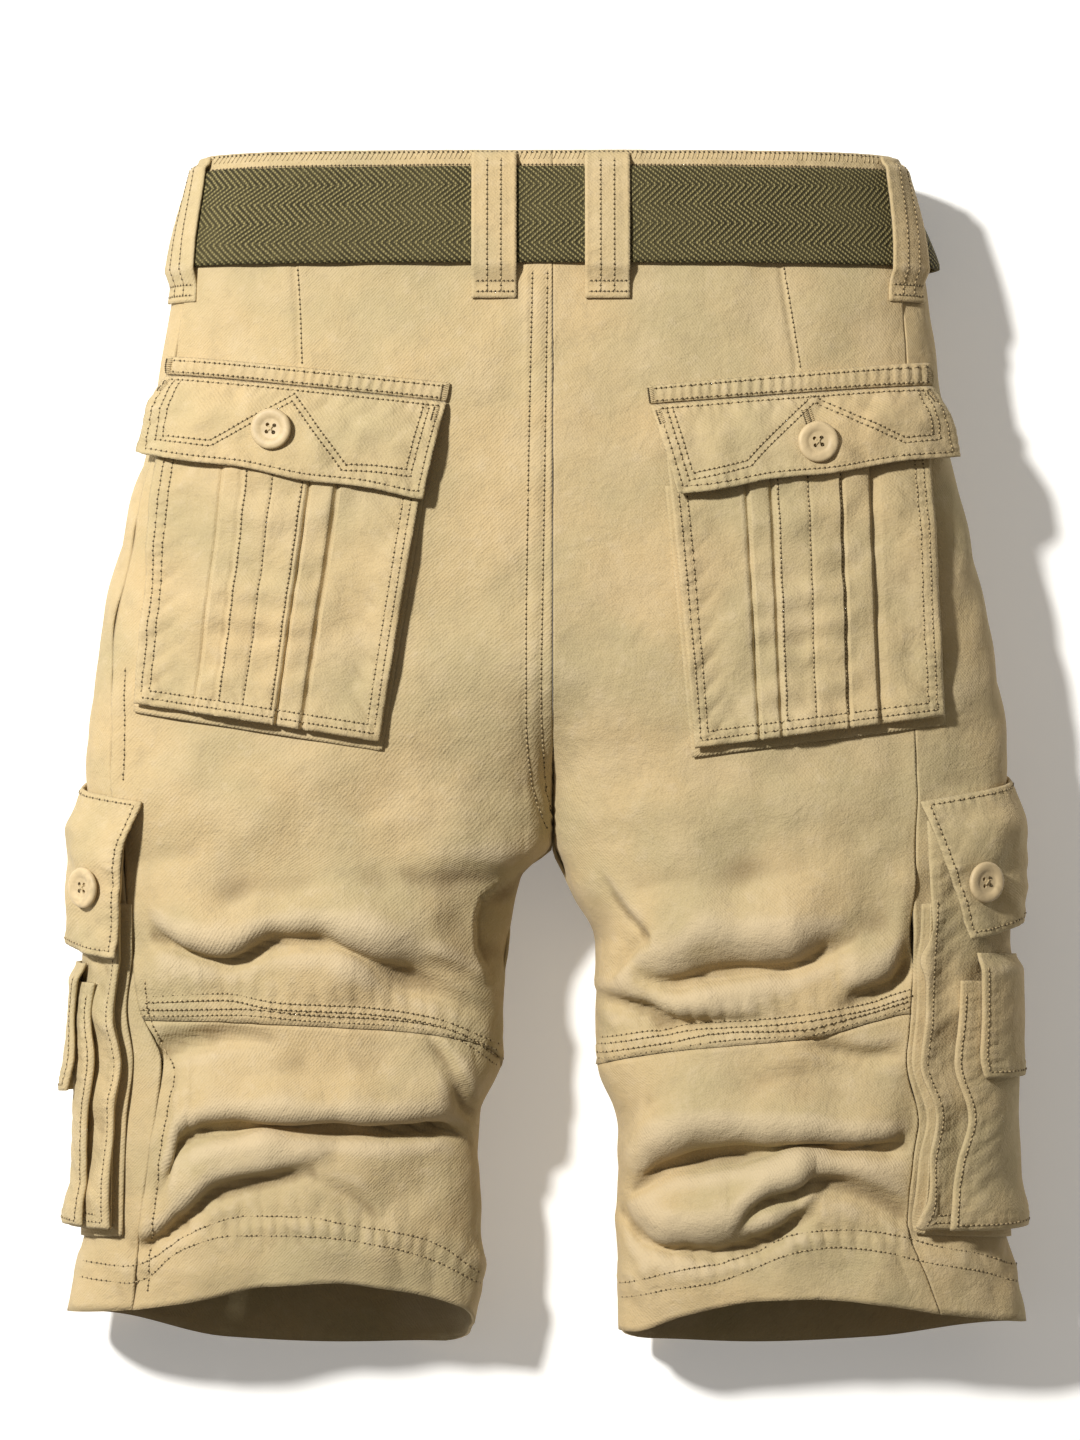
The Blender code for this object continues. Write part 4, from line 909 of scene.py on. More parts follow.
def rim_gathers(patch, across, down, seed, pucker, sides="lfr", rows=(3.6, 7.4)):
    """Puckers between a patch's rows of stitches: l and r its sides, f its foot, t its top."""
    width, height = patch_size(patch)
    x, y = across * width, down * height
    edges = {"l": (y, x), "r": (y, (1 - across) * width), "f": (x, (1 - down) * height),
             "t": (x, y)}
    middle = (rows[0] + rows[-1]) / 2
    total = np.zeros(np.shape(across))
    for i, letter in enumerate(sides):
        run, away = edges[letter]
        total += gathers(run, away - middle, seed + i, pucker, 4.9, 3.0)
        total += gathers(run + 0.6 * away, away - rows[-1] - 3, seed + i + 9, 0.9 * pucker,
                         12.0, 8.0)
        total -= RIM_ROUND * bell(away, 1.0)
        for row in rows:
            total -= 0.3 * bell(away - row, 0.8)
    return total


def face_spot(kind, side):
    """Where a pocket's face lies, with a back pocket's pleats and a cargo pocket's waves."""
    patch = f"{kind}_pocket_{side}"
    width, height = patch_size(patch)
    side_in, foot_in = FACE_INSET_SIDE / width, FACE_INSET_FOOT / height
    pleats = np.array(PLEATS[side])
    seed = 40 + len(patch) + (side == "left")

    def spot(across, down, lift=0.0):
        a = side_in + across * (1 - 2 * side_in)
        b = down * (1 - foot_in)
        run = down * height
        out = face_under(kind, a, b) + FACE_THICK
        if kind == "back":
            tilt = PLEAT_TILT[side] * (down - 0.45) + 0.005 * np.sin(4 * down + seed)
            a = a + tilt * np.sin(math.pi * across)
            out = out + np.interp(across, pleats[:, 0], pleats[:, 1]) * ease(down / 0.1)
            cross = np.sin(2 * math.pi * run / 17 + 1.3 * np.sin(down * 9) + 2 * across)
            out = out + 0.5 * cross * ease((across - 0.24) / 0.06) * ease((0.7 - across) / 0.06)
        out = out + ripples(across * width, run, seed, *FACE_RIPPLES)
        if kind == "cargo":
            wave = np.sin(2 * math.pi * run / 46 + seed) + 0.6 * np.sin(2 * math.pi * run / 23 + 1)
            out = out + 0.8 * wave * np.sin(math.pi * np.clip(across * 1.6, 0, 1))
        out = out + rim_gathers(patch, across, down, seed, FACE_PUCKER[kind])
        return place(patch, a, b, out + lift)
    return spot


def flap_spot(kind, side):
    """Where a large pocket's flap lies, rising towards its foot."""
    patch = f"{kind}_flap_{side}"
    width, height = patch_size(patch)
    seed = 60 + len(patch) + (side == "left")

    def spot(across, down, lift=0.0):
        x, y = across * width, down * height
        out = flap_under(kind, across, down) + FLAP_THICK
        out = out + ripples(x, y, seed, *FLAP_RIPPLES) * ease(down * 5)
        out = out + FLAP_LIFT[kind][side] * down ** 2 * (1.2 - across)
        out = out + rim_gathers(patch, across, down, seed, 0.42, "lfrt", (2.8,))
        if kind == "back":
            at, aside = along_line(np.array(PEAKS[side]) * (width, height), x, y)
            aside = aside + PEAK_SPACING / 2
            out = out + gathers(at, aside, seed + 5, 0.3, 4.6, 2.6) - 0.25 * bell(aside, 2.2)
        wave = 0.7 * np.sin(x / 9 + seed) * down / height
        return place(patch, across, down + wave, out + lift)
    return spot


def welt_spot(side):
    """Where a back pocket's welt lies, swelling between its rows of stitches."""
    patch = f"back_welt_{side}"
    width, height = patch_size(patch)

    def spot(across, down, lift=0.0):
        swell = 0.9 * np.sin(math.pi * np.clip(down, 0, 1)) ** 0.5
        down = down * 1.08
        pleated = gathers(across * width, down * height - 4, len(patch), 0.7, 4.6, 6.0)
        return place(patch, across, down, SKIN_CLEAR + 1.2 + swell + pleated + lift)
    return spot


def small_pocket_spot(side):
    """Where the small pocket lies on the cargo pocket, puffed on both sides of a valley."""
    patch = f"small_pocket_{side}"

    def spot(across, down, lift=0.0):
        puff = 1.4 * np.sin(math.pi * across) * np.sin(math.pi * down)
        valley = bell(across - 0.42, 0.2)
        puff = puff + 3.2 * (1 - valley) * np.sin(math.pi * np.clip(down, 0, 1))
        out = cargo_top(side, across, down) + 1.1 + 1.5 + puff
        return place(patch, across, down, out + rim_gathers(patch, across, down, 80, 0.4) + lift)
    return spot


def small_flap_spot(side):
    """Where the small pocket's flap lies, curling up towards its foot."""
    patch = f"small_flap_{side}"

    def spot(across, down, lift=0.0):
        out = cargo_top(side, across, down * 0.45) + 0.8 + 3.7 * ease(down / 0.14) + 1.6
        out = out + SMALL_FLAP_LIFT[side] * down ** 2
        return place(patch, across, down, out + rim_gathers(patch, across, down, 90, 0.4) + lift)
    return spot


def gusset_spot(kind, side):
    """The bellows strip: across runs down one side, along the foot and up the other."""
    patch = f"{kind}_pocket_{side}"
    width, height = patch_size(patch)
    scale, swing = (CARGO_SCALE, 0.9) if kind == "cargo" else (1.0, 0.4)
    # Shares across and down the pocket, and which way is in there: aside and up
    corners = np.array([(0, 0.2, 1, 0), (0, 0.93, 1, 0), (0, 1, 1, 1), (0.06, 1, 0, 1),
                        (0.94, 1, 0, 1), (1, 1, -1, 1), (1, 0.93, -1, 0), (1, 0.2, -1, 0)], float)
    run = run_along(corners[:, :2] * (width, height))
    line = np.array(GUSSET_LINE, float)
    shares = np.linspace(0, 1, len(line))

    def spot(across, down, lift=0.0):
        at = across * run[-1]
        a, b, aside, up = (np.interp(at, run, corners[:, i]) for i in range(4))
        upper = np.clip(down * 2 - 1, 0, 1)
        inset, out = (smooth(shares, line[:, i], down) for i in (0, 1))
        sway = swing * np.sin(at / 8.5) * np.sin(math.pi * down)
        share = a + (inset + FACE_INSET_SIDE * upper + sway) * aside / width
        low = b - (inset + FACE_INSET_FOOT * upper + sway) * up / height
        out = SKIN_CLEAR + 0.3 + (out - SKIN_CLEAR) * scale
        return place(patch, share, low, out * cargo_slope(kind, share) + lift)
    return spot


def ring_spot(out_high, top, foot, relief):
    """Cloth round the waist: across runs round the right half and back over the left."""
    def spot(across, down, lift=0.0):
        level = top + (foot - top) * down
        out = out_high + relief(across, down) + lift
        right = moved_out("right", np.clip(across * 4, 0, 2), level, out)
        left = moved_out("left", np.clip(4 - across * 4, 0, 2), level, out)
        return np.where((across <= 0.5)[..., None], right, left)
    return spot


def loop_spot(name):
    """Where a belt loop lies, from the band over the belt and down to the seat."""
    _, side, laid, top, foot = next(row for row in LOOPS if row[0] == name)
    run = np.array(LOOP_RUN, float)[::-1]
    high, low = run[-1, 0], run[0, 0]

    def spot(across, down, lift=0.0):
        level = high + (low - high) * down
        out = smooth(run[:, 0], run[:, 1], level) + LOOP_THICK
        middle = foot + (top - foot) * (1 - down)
        around = around_of(laid, side, middle + (across - 0.5) * LOOP_WIDTH, level)
        edge = np.minimum(across, 1 - across) * LOOP_WIDTH
        swell = 0.35 * (1 - bell(edge - 3.4, 1.0)) - 0.35
        swell = swell + gathers(down * LOOP_LENGTH, edge - 3.4, len(name), 0.22, 6.0, 3.5)
        return moved_out(side, around, level, out + swell + lift)
    return spot


def read_points(data):
    """A mesh's points, one to a row."""
    points = np.empty(len(data.vertices) * 3)
    data.vertices.foreach_get("co", points)
    return points.reshape(-1, 3)


def made_piece(name, mesh):
    """Turns a bmesh, or a finished mesh, into an object of the scene."""
    if isinstance(mesh, bmesh.types.BMesh):
        data = bpy.data.meshes.new(name)
        mesh.to_mesh(data)
        mesh.free()
        mesh = data
    piece = bpy.data.objects.new(name, mesh)
    bpy.context.scene.collection.objects.link(piece)
    return piece


def ridges_and_dips(points, upward):
    """How far each point of a grid stands over those round it: 1 on a ridge and -1 in a dip. The
    twill turns the ridges paler, as rubbing and as a painted highlight, and paints shade into the
    dips.
    """
    total = np.zeros(points.shape[:2])
    for reach, height in RIDGE_STEPS:
        padded = np.pad(points, ((reach, reach), (reach, reach), (0, 0)), mode="edge")
        inner = slice(reach, -reach)
        mean = (padded[2 * reach:, inner] + padded[:-2 * reach, inner]
                + padded[inner, 2 * reach:] + padded[inner, :-2 * reach]) / 4
        stands = np.einsum("ijk,ijk->ij", points - mean, upward) / height
        stands[:reach, :] = stands[-reach:, :] = 0
        stands[:, :reach] = stands[:, -reach:] = 0
        total += np.clip(stands, -1, 1) / len(RIDGE_STEPS)
    for _ in range(4):     # smoothed down and across by turns
        padded = np.pad(total, ((1, 1), (0, 0)), mode="edge")
        total = ((padded[:-2] + 2 * total + padded[2:]) / 4).T
    return total


def facing_of(points):
    """The direction of the cloth at each point of a grid."""
    facing = np.cross(np.gradient(points, axis=1), np.gradient(points, axis=0))
    return facing / np.maximum(np.linalg.norm(facing, axis=2, keepdims=True), 1e-9)


def cloth(name, columns, rows, spot, thick, size, ring=False, steps=None):
    """A sheet of cloth: a flat grid carried to its place, with its thickness on the inside."""
    mesh = bmesh.new()
    bmesh.ops.create_grid(mesh, x_segments=columns, y_segments=rows, size=0.5)
    piece = made_piece(name, mesh)
    data = piece.data
    flat = read_points(data)
    across, down = np.clip(flat[:, 0] + 0.5, 0, 1), np.clip(0.5 - flat[:, 1], 0, 1)
    if steps is not None:
        across = np.interp(across, np.linspace(0, 1, len(steps)), steps)
    points = spot(across, down)
    data.vertices.foreach_set("co", (points * MM).ravel())
    corners = np.empty(len(data.loops), int)
    data.loops.foreach_get("vertex_index", corners)
    spread = np.stack([across * size[0], -down * size[1]], axis=1) * MM
    data.uv_layers.new(name="Cloth").data.foreach_set("uv", spread[corners].ravel())
    data.update()
    middle = data.polygons[len(data.polygons) // 2 + columns // 2]
    here = middle.vertices[0]
    out = (spot(across[here:here + 1], down[here:here + 1], 1.0) - points[here])[0]
    if Vector(out).dot(middle.normal) < 0:
        data.flip_normals()
    order = np.lexsort((across.round(6), down.round(6)))
    shape = (len(np.unique(down.round(6))), len(np.unique(across.round(6))))
    grid = points[order].reshape(*shape, 3)
    upward = facing_of(grid)
    if upward[np.unravel_index(int(np.where(order == here)[0][0]), shape)] @ out < 0:
        upward = -upward
    # How far the cloth rises or sinks round each point: paler ridges from rubbing and as painted
    # highlight, painted shade in the dips
    rubbed_and_painted_light = np.empty(len(order))
    rubbed_and_painted_light[order] = ridges_and_dips(grid, upward).ravel()
    data.attributes.new("Worn", "FLOAT", "POINT").data.foreach_set("value", rubbed_and_painted_light)
    if ring:
        mesh = bmesh.new()
        mesh.from_mesh(data)
        bmesh.ops.remove_doubles(mesh, verts=mesh.verts, dist=0.01 * MM)
        mesh.to_mesh(data)
        mesh.free()
    data.shade_smooth()
    wall = piece.modifiers.new("Thickness", "SOLIDIFY")
    wall.thickness, wall.offset, wall.use_even_offset = thick * MM, -1, False
    return piece


def dress(piece, finish, nodes, flat=None, inside=None):
    """Gives a piece its finish and the body it moves with, and hides the solids that it stands for.
    """
    piece.data.materials.clear()
    piece.data.materials.append(finish_of(finish))
    if inside is not None:
        piece.data.materials.append(finish_of(inside))
        piece.modifiers["Thickness"].material_offset = 1
    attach(piece, "root")
    if nodes:
        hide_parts(*nodes)
    if flat is not None:
        width, length, area = flat
    return piece


class Tree:
    """Adds and links the nodes of one material."""

    def __init__(self, name):
        self.made = bpy.data.materials.new(name)
        self.made.use_nodes = True
        self.nodes = self.made.node_tree.nodes
        self.shader = self.nodes["Principled BSDF"]
        self.spot = self.add("ShaderNodeTexCoord", 3)

    def link(self, value, socket):
        if isinstance(value, bpy.types.NodeSocket):
            self.made.node_tree.links.new(value, socket)
        else:
            socket.default_value = value

    def add(self, kind, out=0, settings=(), **inputs):
        """A node, with its inputs by name, or by number where the name starts with i."""
        node = self.nodes.new(kind)
        for key, value in settings:
            setattr(node, key, value)
        for key, value in inputs.items():
            numbered = key[0] == "i" and key[1:].isdigit()
            self.link(value, node.inputs[int(key[1:]) if numbered else key.replace("_", " ")])
        return node.outputs[out]

    def finish(self, **values):
        """Sets the shader's inputs, and returns the material."""
        for key, value in values.items():
            self.link(value, self.shader.inputs[key.replace("_", " ")])
        return self.made

    def noise(self, scale, detail, **others):
        return self.add("ShaderNodeTexNoise", Vector=self.spot, Scale=scale, Detail=detail,
                        **others)

    def attribute(self, name):
        return self.add("ShaderNodeAttribute", 2, (("attribute_name", name),))

    def math(self, operation, a, b=0.0, c=0.0):
        return self.add("ShaderNodeMath", settings=(("operation", operation),), i0=a, i1=b, i2=c)

    def wave(self, run, length):
        """A sine wave of this length in millimetres."""
        return self.math("SINE", self.math("MULTIPLY", run, 2 * math.pi / (length * MM)))

    def mix(self, share, a, b):
        return self.add("ShaderNodeMix", 2, (("data_type", "RGBA"),), i0=share, i6=a, i7=b)

    def ramp(self, value, low, high):
        """0 below low and 1 above high."""
        return self.add("ShaderNodeMapRange", settings=(("interpolation_type", "SMOOTHSTEP"),),
                        Value=value, From_Min=low, From_Max=high)

    def tint(self, base, value, low, high, share, colour):
        """Lays a share of a colour over the base, where a value is high."""
        return self.mix(self.math("MULTIPLY", self.ramp(value, low, high), share), base, colour)


def shade(colour, red, green=None, blue=None):
    """A colour made darker or paler by one factor, or by one for each of its parts."""
    factors = (red, green or red, blue or red)
    return tuple(min(1.0, part * factor) for part, factor in zip(colour, factors)) + (1.0,)


def twill_finish(name, colour):
    """Washed cotton twill: mottled, paler on its ridges from rubbing and as a painted highlight,
    with painted shade in its dips and creases, a fine diagonal rib and a soft nap.
    """
    tree = Tree(name)
    cloth_map = tree.add("ShaderNodeUVMap", settings=(("uv_map", "Cloth"),))
    rubbed_and_painted_light = tree.attribute("Worn")
    blotch = tree.noise(14.0, 3.0, Roughness=0.55)
    fade = tree.noise(31.0, 2.0, Roughness=0.5)
    fleck = tree.noise(120.0, 5.0, Roughness=0.68)
    yarn = tree.noise(1100.0, 2.0)
    crumple = tree.noise(75.0, 4.0, Roughness=0.6, Distortion=0.4)
    green, yellow = shade(colour, 0.90, 0.93, 0.86), shade(colour, 1.08, 1.03, 0.92)
    # dark is the painted shade laid into the dips and creases
    dark, pale = shade(colour, 0.42, 0.37, 0.30), shade(colour, 1.22, 1.26, 1.42)
    base = tree.mix(tree.ramp(blotch, 0.32, 0.68), green, yellow)
    base = tree.tint(base, fade, 0.45, 0.75, 0.45, shade(colour, 1.13))
    base = tree.tint(base, fleck, 0.50, 0.74, 0.30, pale)
    base = tree.tint(base, fleck, 0.50, 0.26, 0.34, shade(colour, 0.72))
    # Ridges paler: rubbed, and a painted highlight on the puckers and rolls
    base = tree.tint(base, rubbed_and_painted_light, 0.15, 1.0, 0.55, pale)
    # Painted shade: the dips and creases darkened
    base = tree.tint(base, tree.math("MULTIPLY", rubbed_and_painted_light, -1.0), 0.14, 1.0, 0.85, dark)
    slanting = (("wave_type", "BANDS"), ("bands_direction", "DIAGONAL"))
    rib = tree.add("ShaderNodeTexWave", 1, slanting, Vector=cloth_map, Scale=TWILL_RIBS,
                   Distortion=1.2, Detail=1.0, Detail_Scale=1.5)
    base = tree.mix(tree.math("MULTIPLY", rib, 0.05), base, shade(colour, 0.72))
    base = tree.tint(base, yarn, 0.42, 0.72, 0.16, pale)
    grain = tree.math("MULTIPLY_ADD", fleck, 2.6, tree.math("MULTIPLY_ADD", rib, 0.32, yarn))
    bump = tree.add("ShaderNodeBump", Height=grain, Strength=0.6, Distance=0.00042)
    bump = tree.add("ShaderNodeBump", Height=crumple, Strength=0.5, Distance=0.0022, Normal=bump)
    return tree.finish(Base_Color=base, Normal=bump, Roughness=0.9, Specular_IOR_Level=0.18,
                       Sheen_Weight=0.06, Sheen_Roughness=0.5)


def thread_finish(name, colour):
    """Thread a little darker than the cloth, and the dark needle holes at its ends."""
    tree = Tree(name)
    twist = tree.ramp(tree.noise(700.0, 2.0), 0.35, 0.7)
    base = tree.mix(twist, shade(colour, 0.8), shade(colour, 1.15))
    base = tree.mix(tree.attribute("Hole"), base, shade(colour, 0.16, 0.14, 0.10))
    return tree.finish(Base_Color=base, Roughness=0.75)


def webbing_finish(name, colour):
    """Olive herringbone webbing: slanting ribs of twisted yarn that turn back from row to row, with
    painted shade in the grooves between the ribs.
    """
    tree = Tree(name)
    cloth_map = tree.add("ShaderNodeUVMap", settings=(("uv_map", "Cloth"),))
    parts = tree.nodes.new("ShaderNodeSeparateXYZ")
    tree.link(cloth_map, parts.inputs[0])
    along, across = parts.outputs[0], parts.outputs[1]
    uneven, fuzz, broad = tree.noise(240.0, 2.0), tree.noise(900.0, 3.0), tree.noise(30.0, 2.0)
    zigzag = tree.math("PINGPONG", across, WEBBING_ROW * MM)
    run = tree.math("MULTIPLY_ADD", along, WEBBING_SLANT, zigzag)
    rib = tree.wave(tree.math("MULTIPLY_ADD", uneven, 0.0008, run), WEBBING_RIB)
    twist = tree.math("MULTIPLY_ADD", zigzag, -WEBBING_SLANT, along)
    twist = tree.wave(tree.math("MULTIPLY_ADD", uneven, 0.0006, twist), WEBBING_TWIST)
    height = tree.math("MULTIPLY", tree.ramp(rib, -0.75, 0.9),
                       tree.math("MULTIPLY_ADD", tree.ramp(twist, -1.0, 0.5), 0.65, 0.35))
    # The herringbone in the webbing's own colours, with painted shade deep in the grooves between
    # the ribs
    base = tree.mix(height, shade(colour, 0.17), shade(colour, 1.75))
    base = tree.tint(base, fuzz, 0.5, 0.75, 0.3, shade(colour, 1.7))
    base = tree.tint(base, broad, 0.35, 0.7, 0.25, shade(colour, 0.7))
    bump = tree.add("ShaderNodeBump", Height=tree.math("MULTIPLY_ADD", fuzz, 0.3, height),
                    Strength=0.9, Distance=0.0008)
    return tree.finish(Base_Color=base, Normal=bump, Roughness=0.85, Specular_IOR_Level=0.2)


def button_finish(name, colour):
    """Moulded plastic with a faint swirl."""
    tree = Tree(name)
    swirl = tree.noise(150.0, 4.0, Distortion=1.2)
    base = tree.mix(tree.ramp(swirl, 0.3, 0.72), shade(colour, 0.88), shade(colour, 1.12))
    return tree.finish(Base_Color=base, Roughness=tree.math("MULTIPLY_ADD", swirl, 0.2, 0.42),
                       Specular_IOR_Level=0.3)


def steel_finish(name, colour):
    """Darkened steel, drawn one way."""
    tree = Tree(name)
    drawn = tree.add("ShaderNodeMapping", Vector=tree.spot, Scale=(60.0, 1800.0, 60.0))
    lines = tree.add("ShaderNodeTexNoise", Vector=drawn, Scale=1.0, Detail=3.0)
    return tree.finish(Base_Color=tree.mix(lines, shade(colour, 0.8), shade(colour, 1.2)),
                       Roughness=tree.math("MULTIPLY_ADD", lines, 0.25, 0.25), Metallic=0.9)


# How each finish is made, its material, its colour, and a factor on that colour
FINISHES = {}
FINISH_MAKERS = {
    "twill": (twill_finish, "khaki_twill", "khaki", 1.0),
    # The inner side's twill is darkened by INSIDE_SHADE: painted shade
    "twill_inside": (twill_finish, "twill_inside", "khaki", INSIDE_SHADE),
    "pocket_twill": (twill_finish, "pocket_twill", "pocket_khaki", 1.0),
    "thread": (thread_finish, "sewing_thread", "thread", 1.0),
    "webbing": (webbing_finish, "olive_webbing", "webbing", 1.0),
    "button": (button_finish, "marbled_button", "button", 1.0),
    "buckle": (steel_finish, "darkened_steel", "buckle", 1.0),
}


def finish_of(name):
    """The named finish, made once from the panel's colours."""
    if name not in FINISHES:
        maker, title, colour, factor = FINISH_MAKERS[name]
        chosen = getattr(bpy.context.scene.shorts_colours, colour)
        FINISHES[name] = maker(title, shade(chosen, factor))
    return FINISHES[name]


def moved_frame(columns, middle):
    """A matrix that carries a unit shape to its place."""
    shape = Matrix(np.column_stack(columns).tolist()).to_4x4()
    shape.translation = middle
    return shape


def unit(way):
    return way / np.linalg.norm(way, axis=-1, keepdims=True)


def left_of(way):
    """The direction to the left side of each way."""
    return np.stack([-way[:, 1], way[:, 0]], axis=1)


def shifted(points, offset):
    """A line moved to its left side by an offset."""
    return points + left_of(unit(np.gradient(points, axis=0))) * offset


class Sewing:
    """Gathers rows of stitches into one piece."""

    def __init__(self, name):
        self.name = name
        self.mesh = bmesh.new()
        self.mesh.verts.layers.float.new("Hole")
        self.draw = np.random.default_rng(len(name))

    def row(self, line, spot, pitch=None, width=None, slant=0.0):
        """Stitches along a line of (x, y) places, laid on the surface that spot gives."""
        sizes = bpy.context.scene.shorts_sizes
        pitch = pitch or sizes.stitch_pitch / MM
        width = width or sizes.thread_width / MM
        line = np.array(line, float)
        run = run_along(line)
        count = max(1, int(run[-1] / pitch))
        starts = np.arange(count) * (run[-1] / count)
        ends = [np.stack([np.interp(at, run, line[:, i]) for i in (0, 1)], axis=1)
                for at in (starts, starts + STITCH_SHARE * (run[-1] / count))]
        if slant:
            aside = left_of(unit(ends[1] - ends[0])) * slant / 2
            ends = [ends[0] - aside, ends[1] + aside]
        first, last = (spot(end[:, 0], end[:, 1], STITCH_LIFT) for end in ends)
        over = spot(ends[0][:, 0], ends[0][:, 1], STITCH_LIFT + 1) - first
        row = bmesh.new()
        hole = row.verts.layers.float.new("Hole")
        for a, b, up in zip(first, last, over):
            along = b - a
            length = np.linalg.norm(along)
            if length < 0.2:
                continue
            along /= length
            up = unit(up - along * (up @ along))
            aside = np.cross(up, along)
            size = width * (0.92 + 0.16 * self.draw.random())
            shape = moved_frame([along * length * 0.5, aside * size * 0.5, up * size * 0.4],
                                (a + b) / 2)
            bmesh.ops.create_icosphere(row, subdivisions=1, radius=1, matrix=shape)
            shape = moved_frame([along * 0.62, aside * size * 0.9, up * size * 0.42],
                                b + along * 0.36)
            made = bmesh.ops.create_uvsphere(row, u_segments=4, v_segments=2, radius=1,
                                             matrix=shape)
            for vert in made["verts"]:
                vert[hole] = 1.0
        bmesh.ops.scale(row, vec=(MM, MM, MM), verts=row.verts)
        data = bpy.data.meshes.new("row")
        row.to_mesh(data)
        row.free()
        self.mesh.from_mesh(data)
        bpy.data.meshes.remove(data)

    def finish(self, slot):
        piece = made_piece(self.name, self.mesh)
        piece.data.shade_smooth()
        return dress(piece, "thread", ())


def on_patch(patch, spot):
    """Turns (across, down) in millimetres on a patch into points."""
    width, height = patch_size(patch)
    return lambda x, y, lift: spot(np.clip(x / width, 0, 1), np.clip(y / height, 0, 1), lift)


def row_places(patch, row):
    """A patch row's points, with the negative ones counted from the far edges."""
    width, height = patch_size(patch)
    return [(x if x >= 0 else width + x, y if y >= 0 else height + y) for x, y in row]


def dense(line, step=4.0):
    """A line with points close enough to follow a curved surface."""
    line = np.array(line, float)
    run = run_along(line)
    at = np.unique(np.concatenate([np.arange(0, run[-1], step), run]))
    return np.stack([np.interp(at, run, line[:, i]) for i in (0, 1)], axis=1)


def cut_of(width, length, share=1.0):
    """A flat cut in metres: its width, its length, and its area."""
    width, length = width * MM, length * MM
    return width, max(length, LEAST_CUT), width * length * share


def segments(size, spacing):
    """How many steps of about this spacing a size takes."""
    return max(6, int(round(size / spacing)))


class ShortsSizes(bpy.types.PropertyGroup):
    """Sizes that a maker would change."""

    panel_thickness: bpy.props.FloatProperty(
        name="Panel thickness", description="Thickness of the twill panels", default=TWILL * MM,
        min=0.0005, max=0.003, unit="LENGTH", precision=4)
    pocket_thickness: bpy.props.FloatProperty(
        name="Pocket thickness", description="Thickness of the pockets' faces and flaps",
        default=FACE_THICK * MM, min=0.0005, max=0.003, unit="LENGTH", precision=4)
    stitch_pitch: bpy.props.FloatProperty(
        name="Stitch length", description="From one stitch to the next", default=0.0023,
        min=0.0015, max=0.006, unit="LENGTH", precision=4)
    thread_width: bpy.props.FloatProperty(
        name="Thread width", description="Width of the sewing thread", default=0.0007,
        min=0.0003, max=0.0015, unit="LENGTH", precision=5)


class ShortsColours(bpy.types.PropertyGroup):
    """Colours of the cloth and trims."""

    khaki: bpy.props.FloatVectorProperty(
        name="Khaki", description="Colour of the panels", default=(0.478, 0.378, 0.226), size=3,
        subtype="COLOR", min=0, max=1)
    pocket_khaki: bpy.props.FloatVectorProperty(
        name="Pocket khaki", description="Colour of the pockets", default=(0.478, 0.378, 0.226),
        size=3, subtype="COLOR", min=0, max=1)
    thread: bpy.props.FloatVectorProperty(
        name="Thread", description="Colour of the stitching", default=(0.47, 0.365, 0.20), size=3,
        subtype="COLOR", min=0, max=1)
    webbing: bpy.props.FloatVectorProperty(
        name="Webbing", description="Colour of the belt", default=(0.168, 0.142, 0.062), size=3,
        subtype="COLOR", min=0, max=1)
    button: bpy.props.FloatVectorProperty(
        name="Button", description="Colour of the buttons", default=(0.54, 0.42, 0.245), size=3,
        subtype="COLOR", min=0, max=1)
    buckle: bpy.props.FloatVectorProperty(
        name="Buckle", description="Colour of the buckle", default=(0.30, 0.29, 0.26), size=3,
        subtype="COLOR", min=0, max=1)


class SHORTS_OT_panels(bpy.types.Operator):
    """Lays the six panels of twill over the body, with their folds and gathered seams"""

    bl_idname = "shorts.panels"
    bl_label = "Panels"

    def execute(self, context):
        thick = context.scene.shorts_sizes.panel_thickness / MM
        for side in SECTIONS:
            for part, (width, length, spacing) in PANEL_SIZES.items():
                columns, steps = segments(width, spacing[0]), None
                node, under = f"back_{side}_{part}", f"cloth_front_{side}"
                if part == "front":
                    columns, steps = len(FRONT_STEPS) - 1, FRONT_STEPS
                    node, under = f"front_{side}", "front_rest_surface"
                piece = cloth(f"cloth_{node}", columns, segments(length, spacing[1]),
                              panel_spot(side, part), thick, (width, length), steps=steps)
                # The panels' inner side takes the darkened twill: painted shade
                dress(piece, "twill", (node,), CUTS[part], inside="twill_inside")
        return {"FINISHED"}


def patch_cloth(node, patch, spot, thick, spacing, steps=None):
    """The cloth of one patch, sewn to the back panel of its side."""
    width, height = patch_size(patch)
    columns = segments(width, spacing[0]) if steps is None else len(steps) - 1
    piece = cloth(f"cloth_{node}", columns, segments(height, spacing[1]), spot, thick,
                  (width, height), steps=steps)
    dress(piece, "pocket_twill", (node,), cut_of(width, height, 0.98))


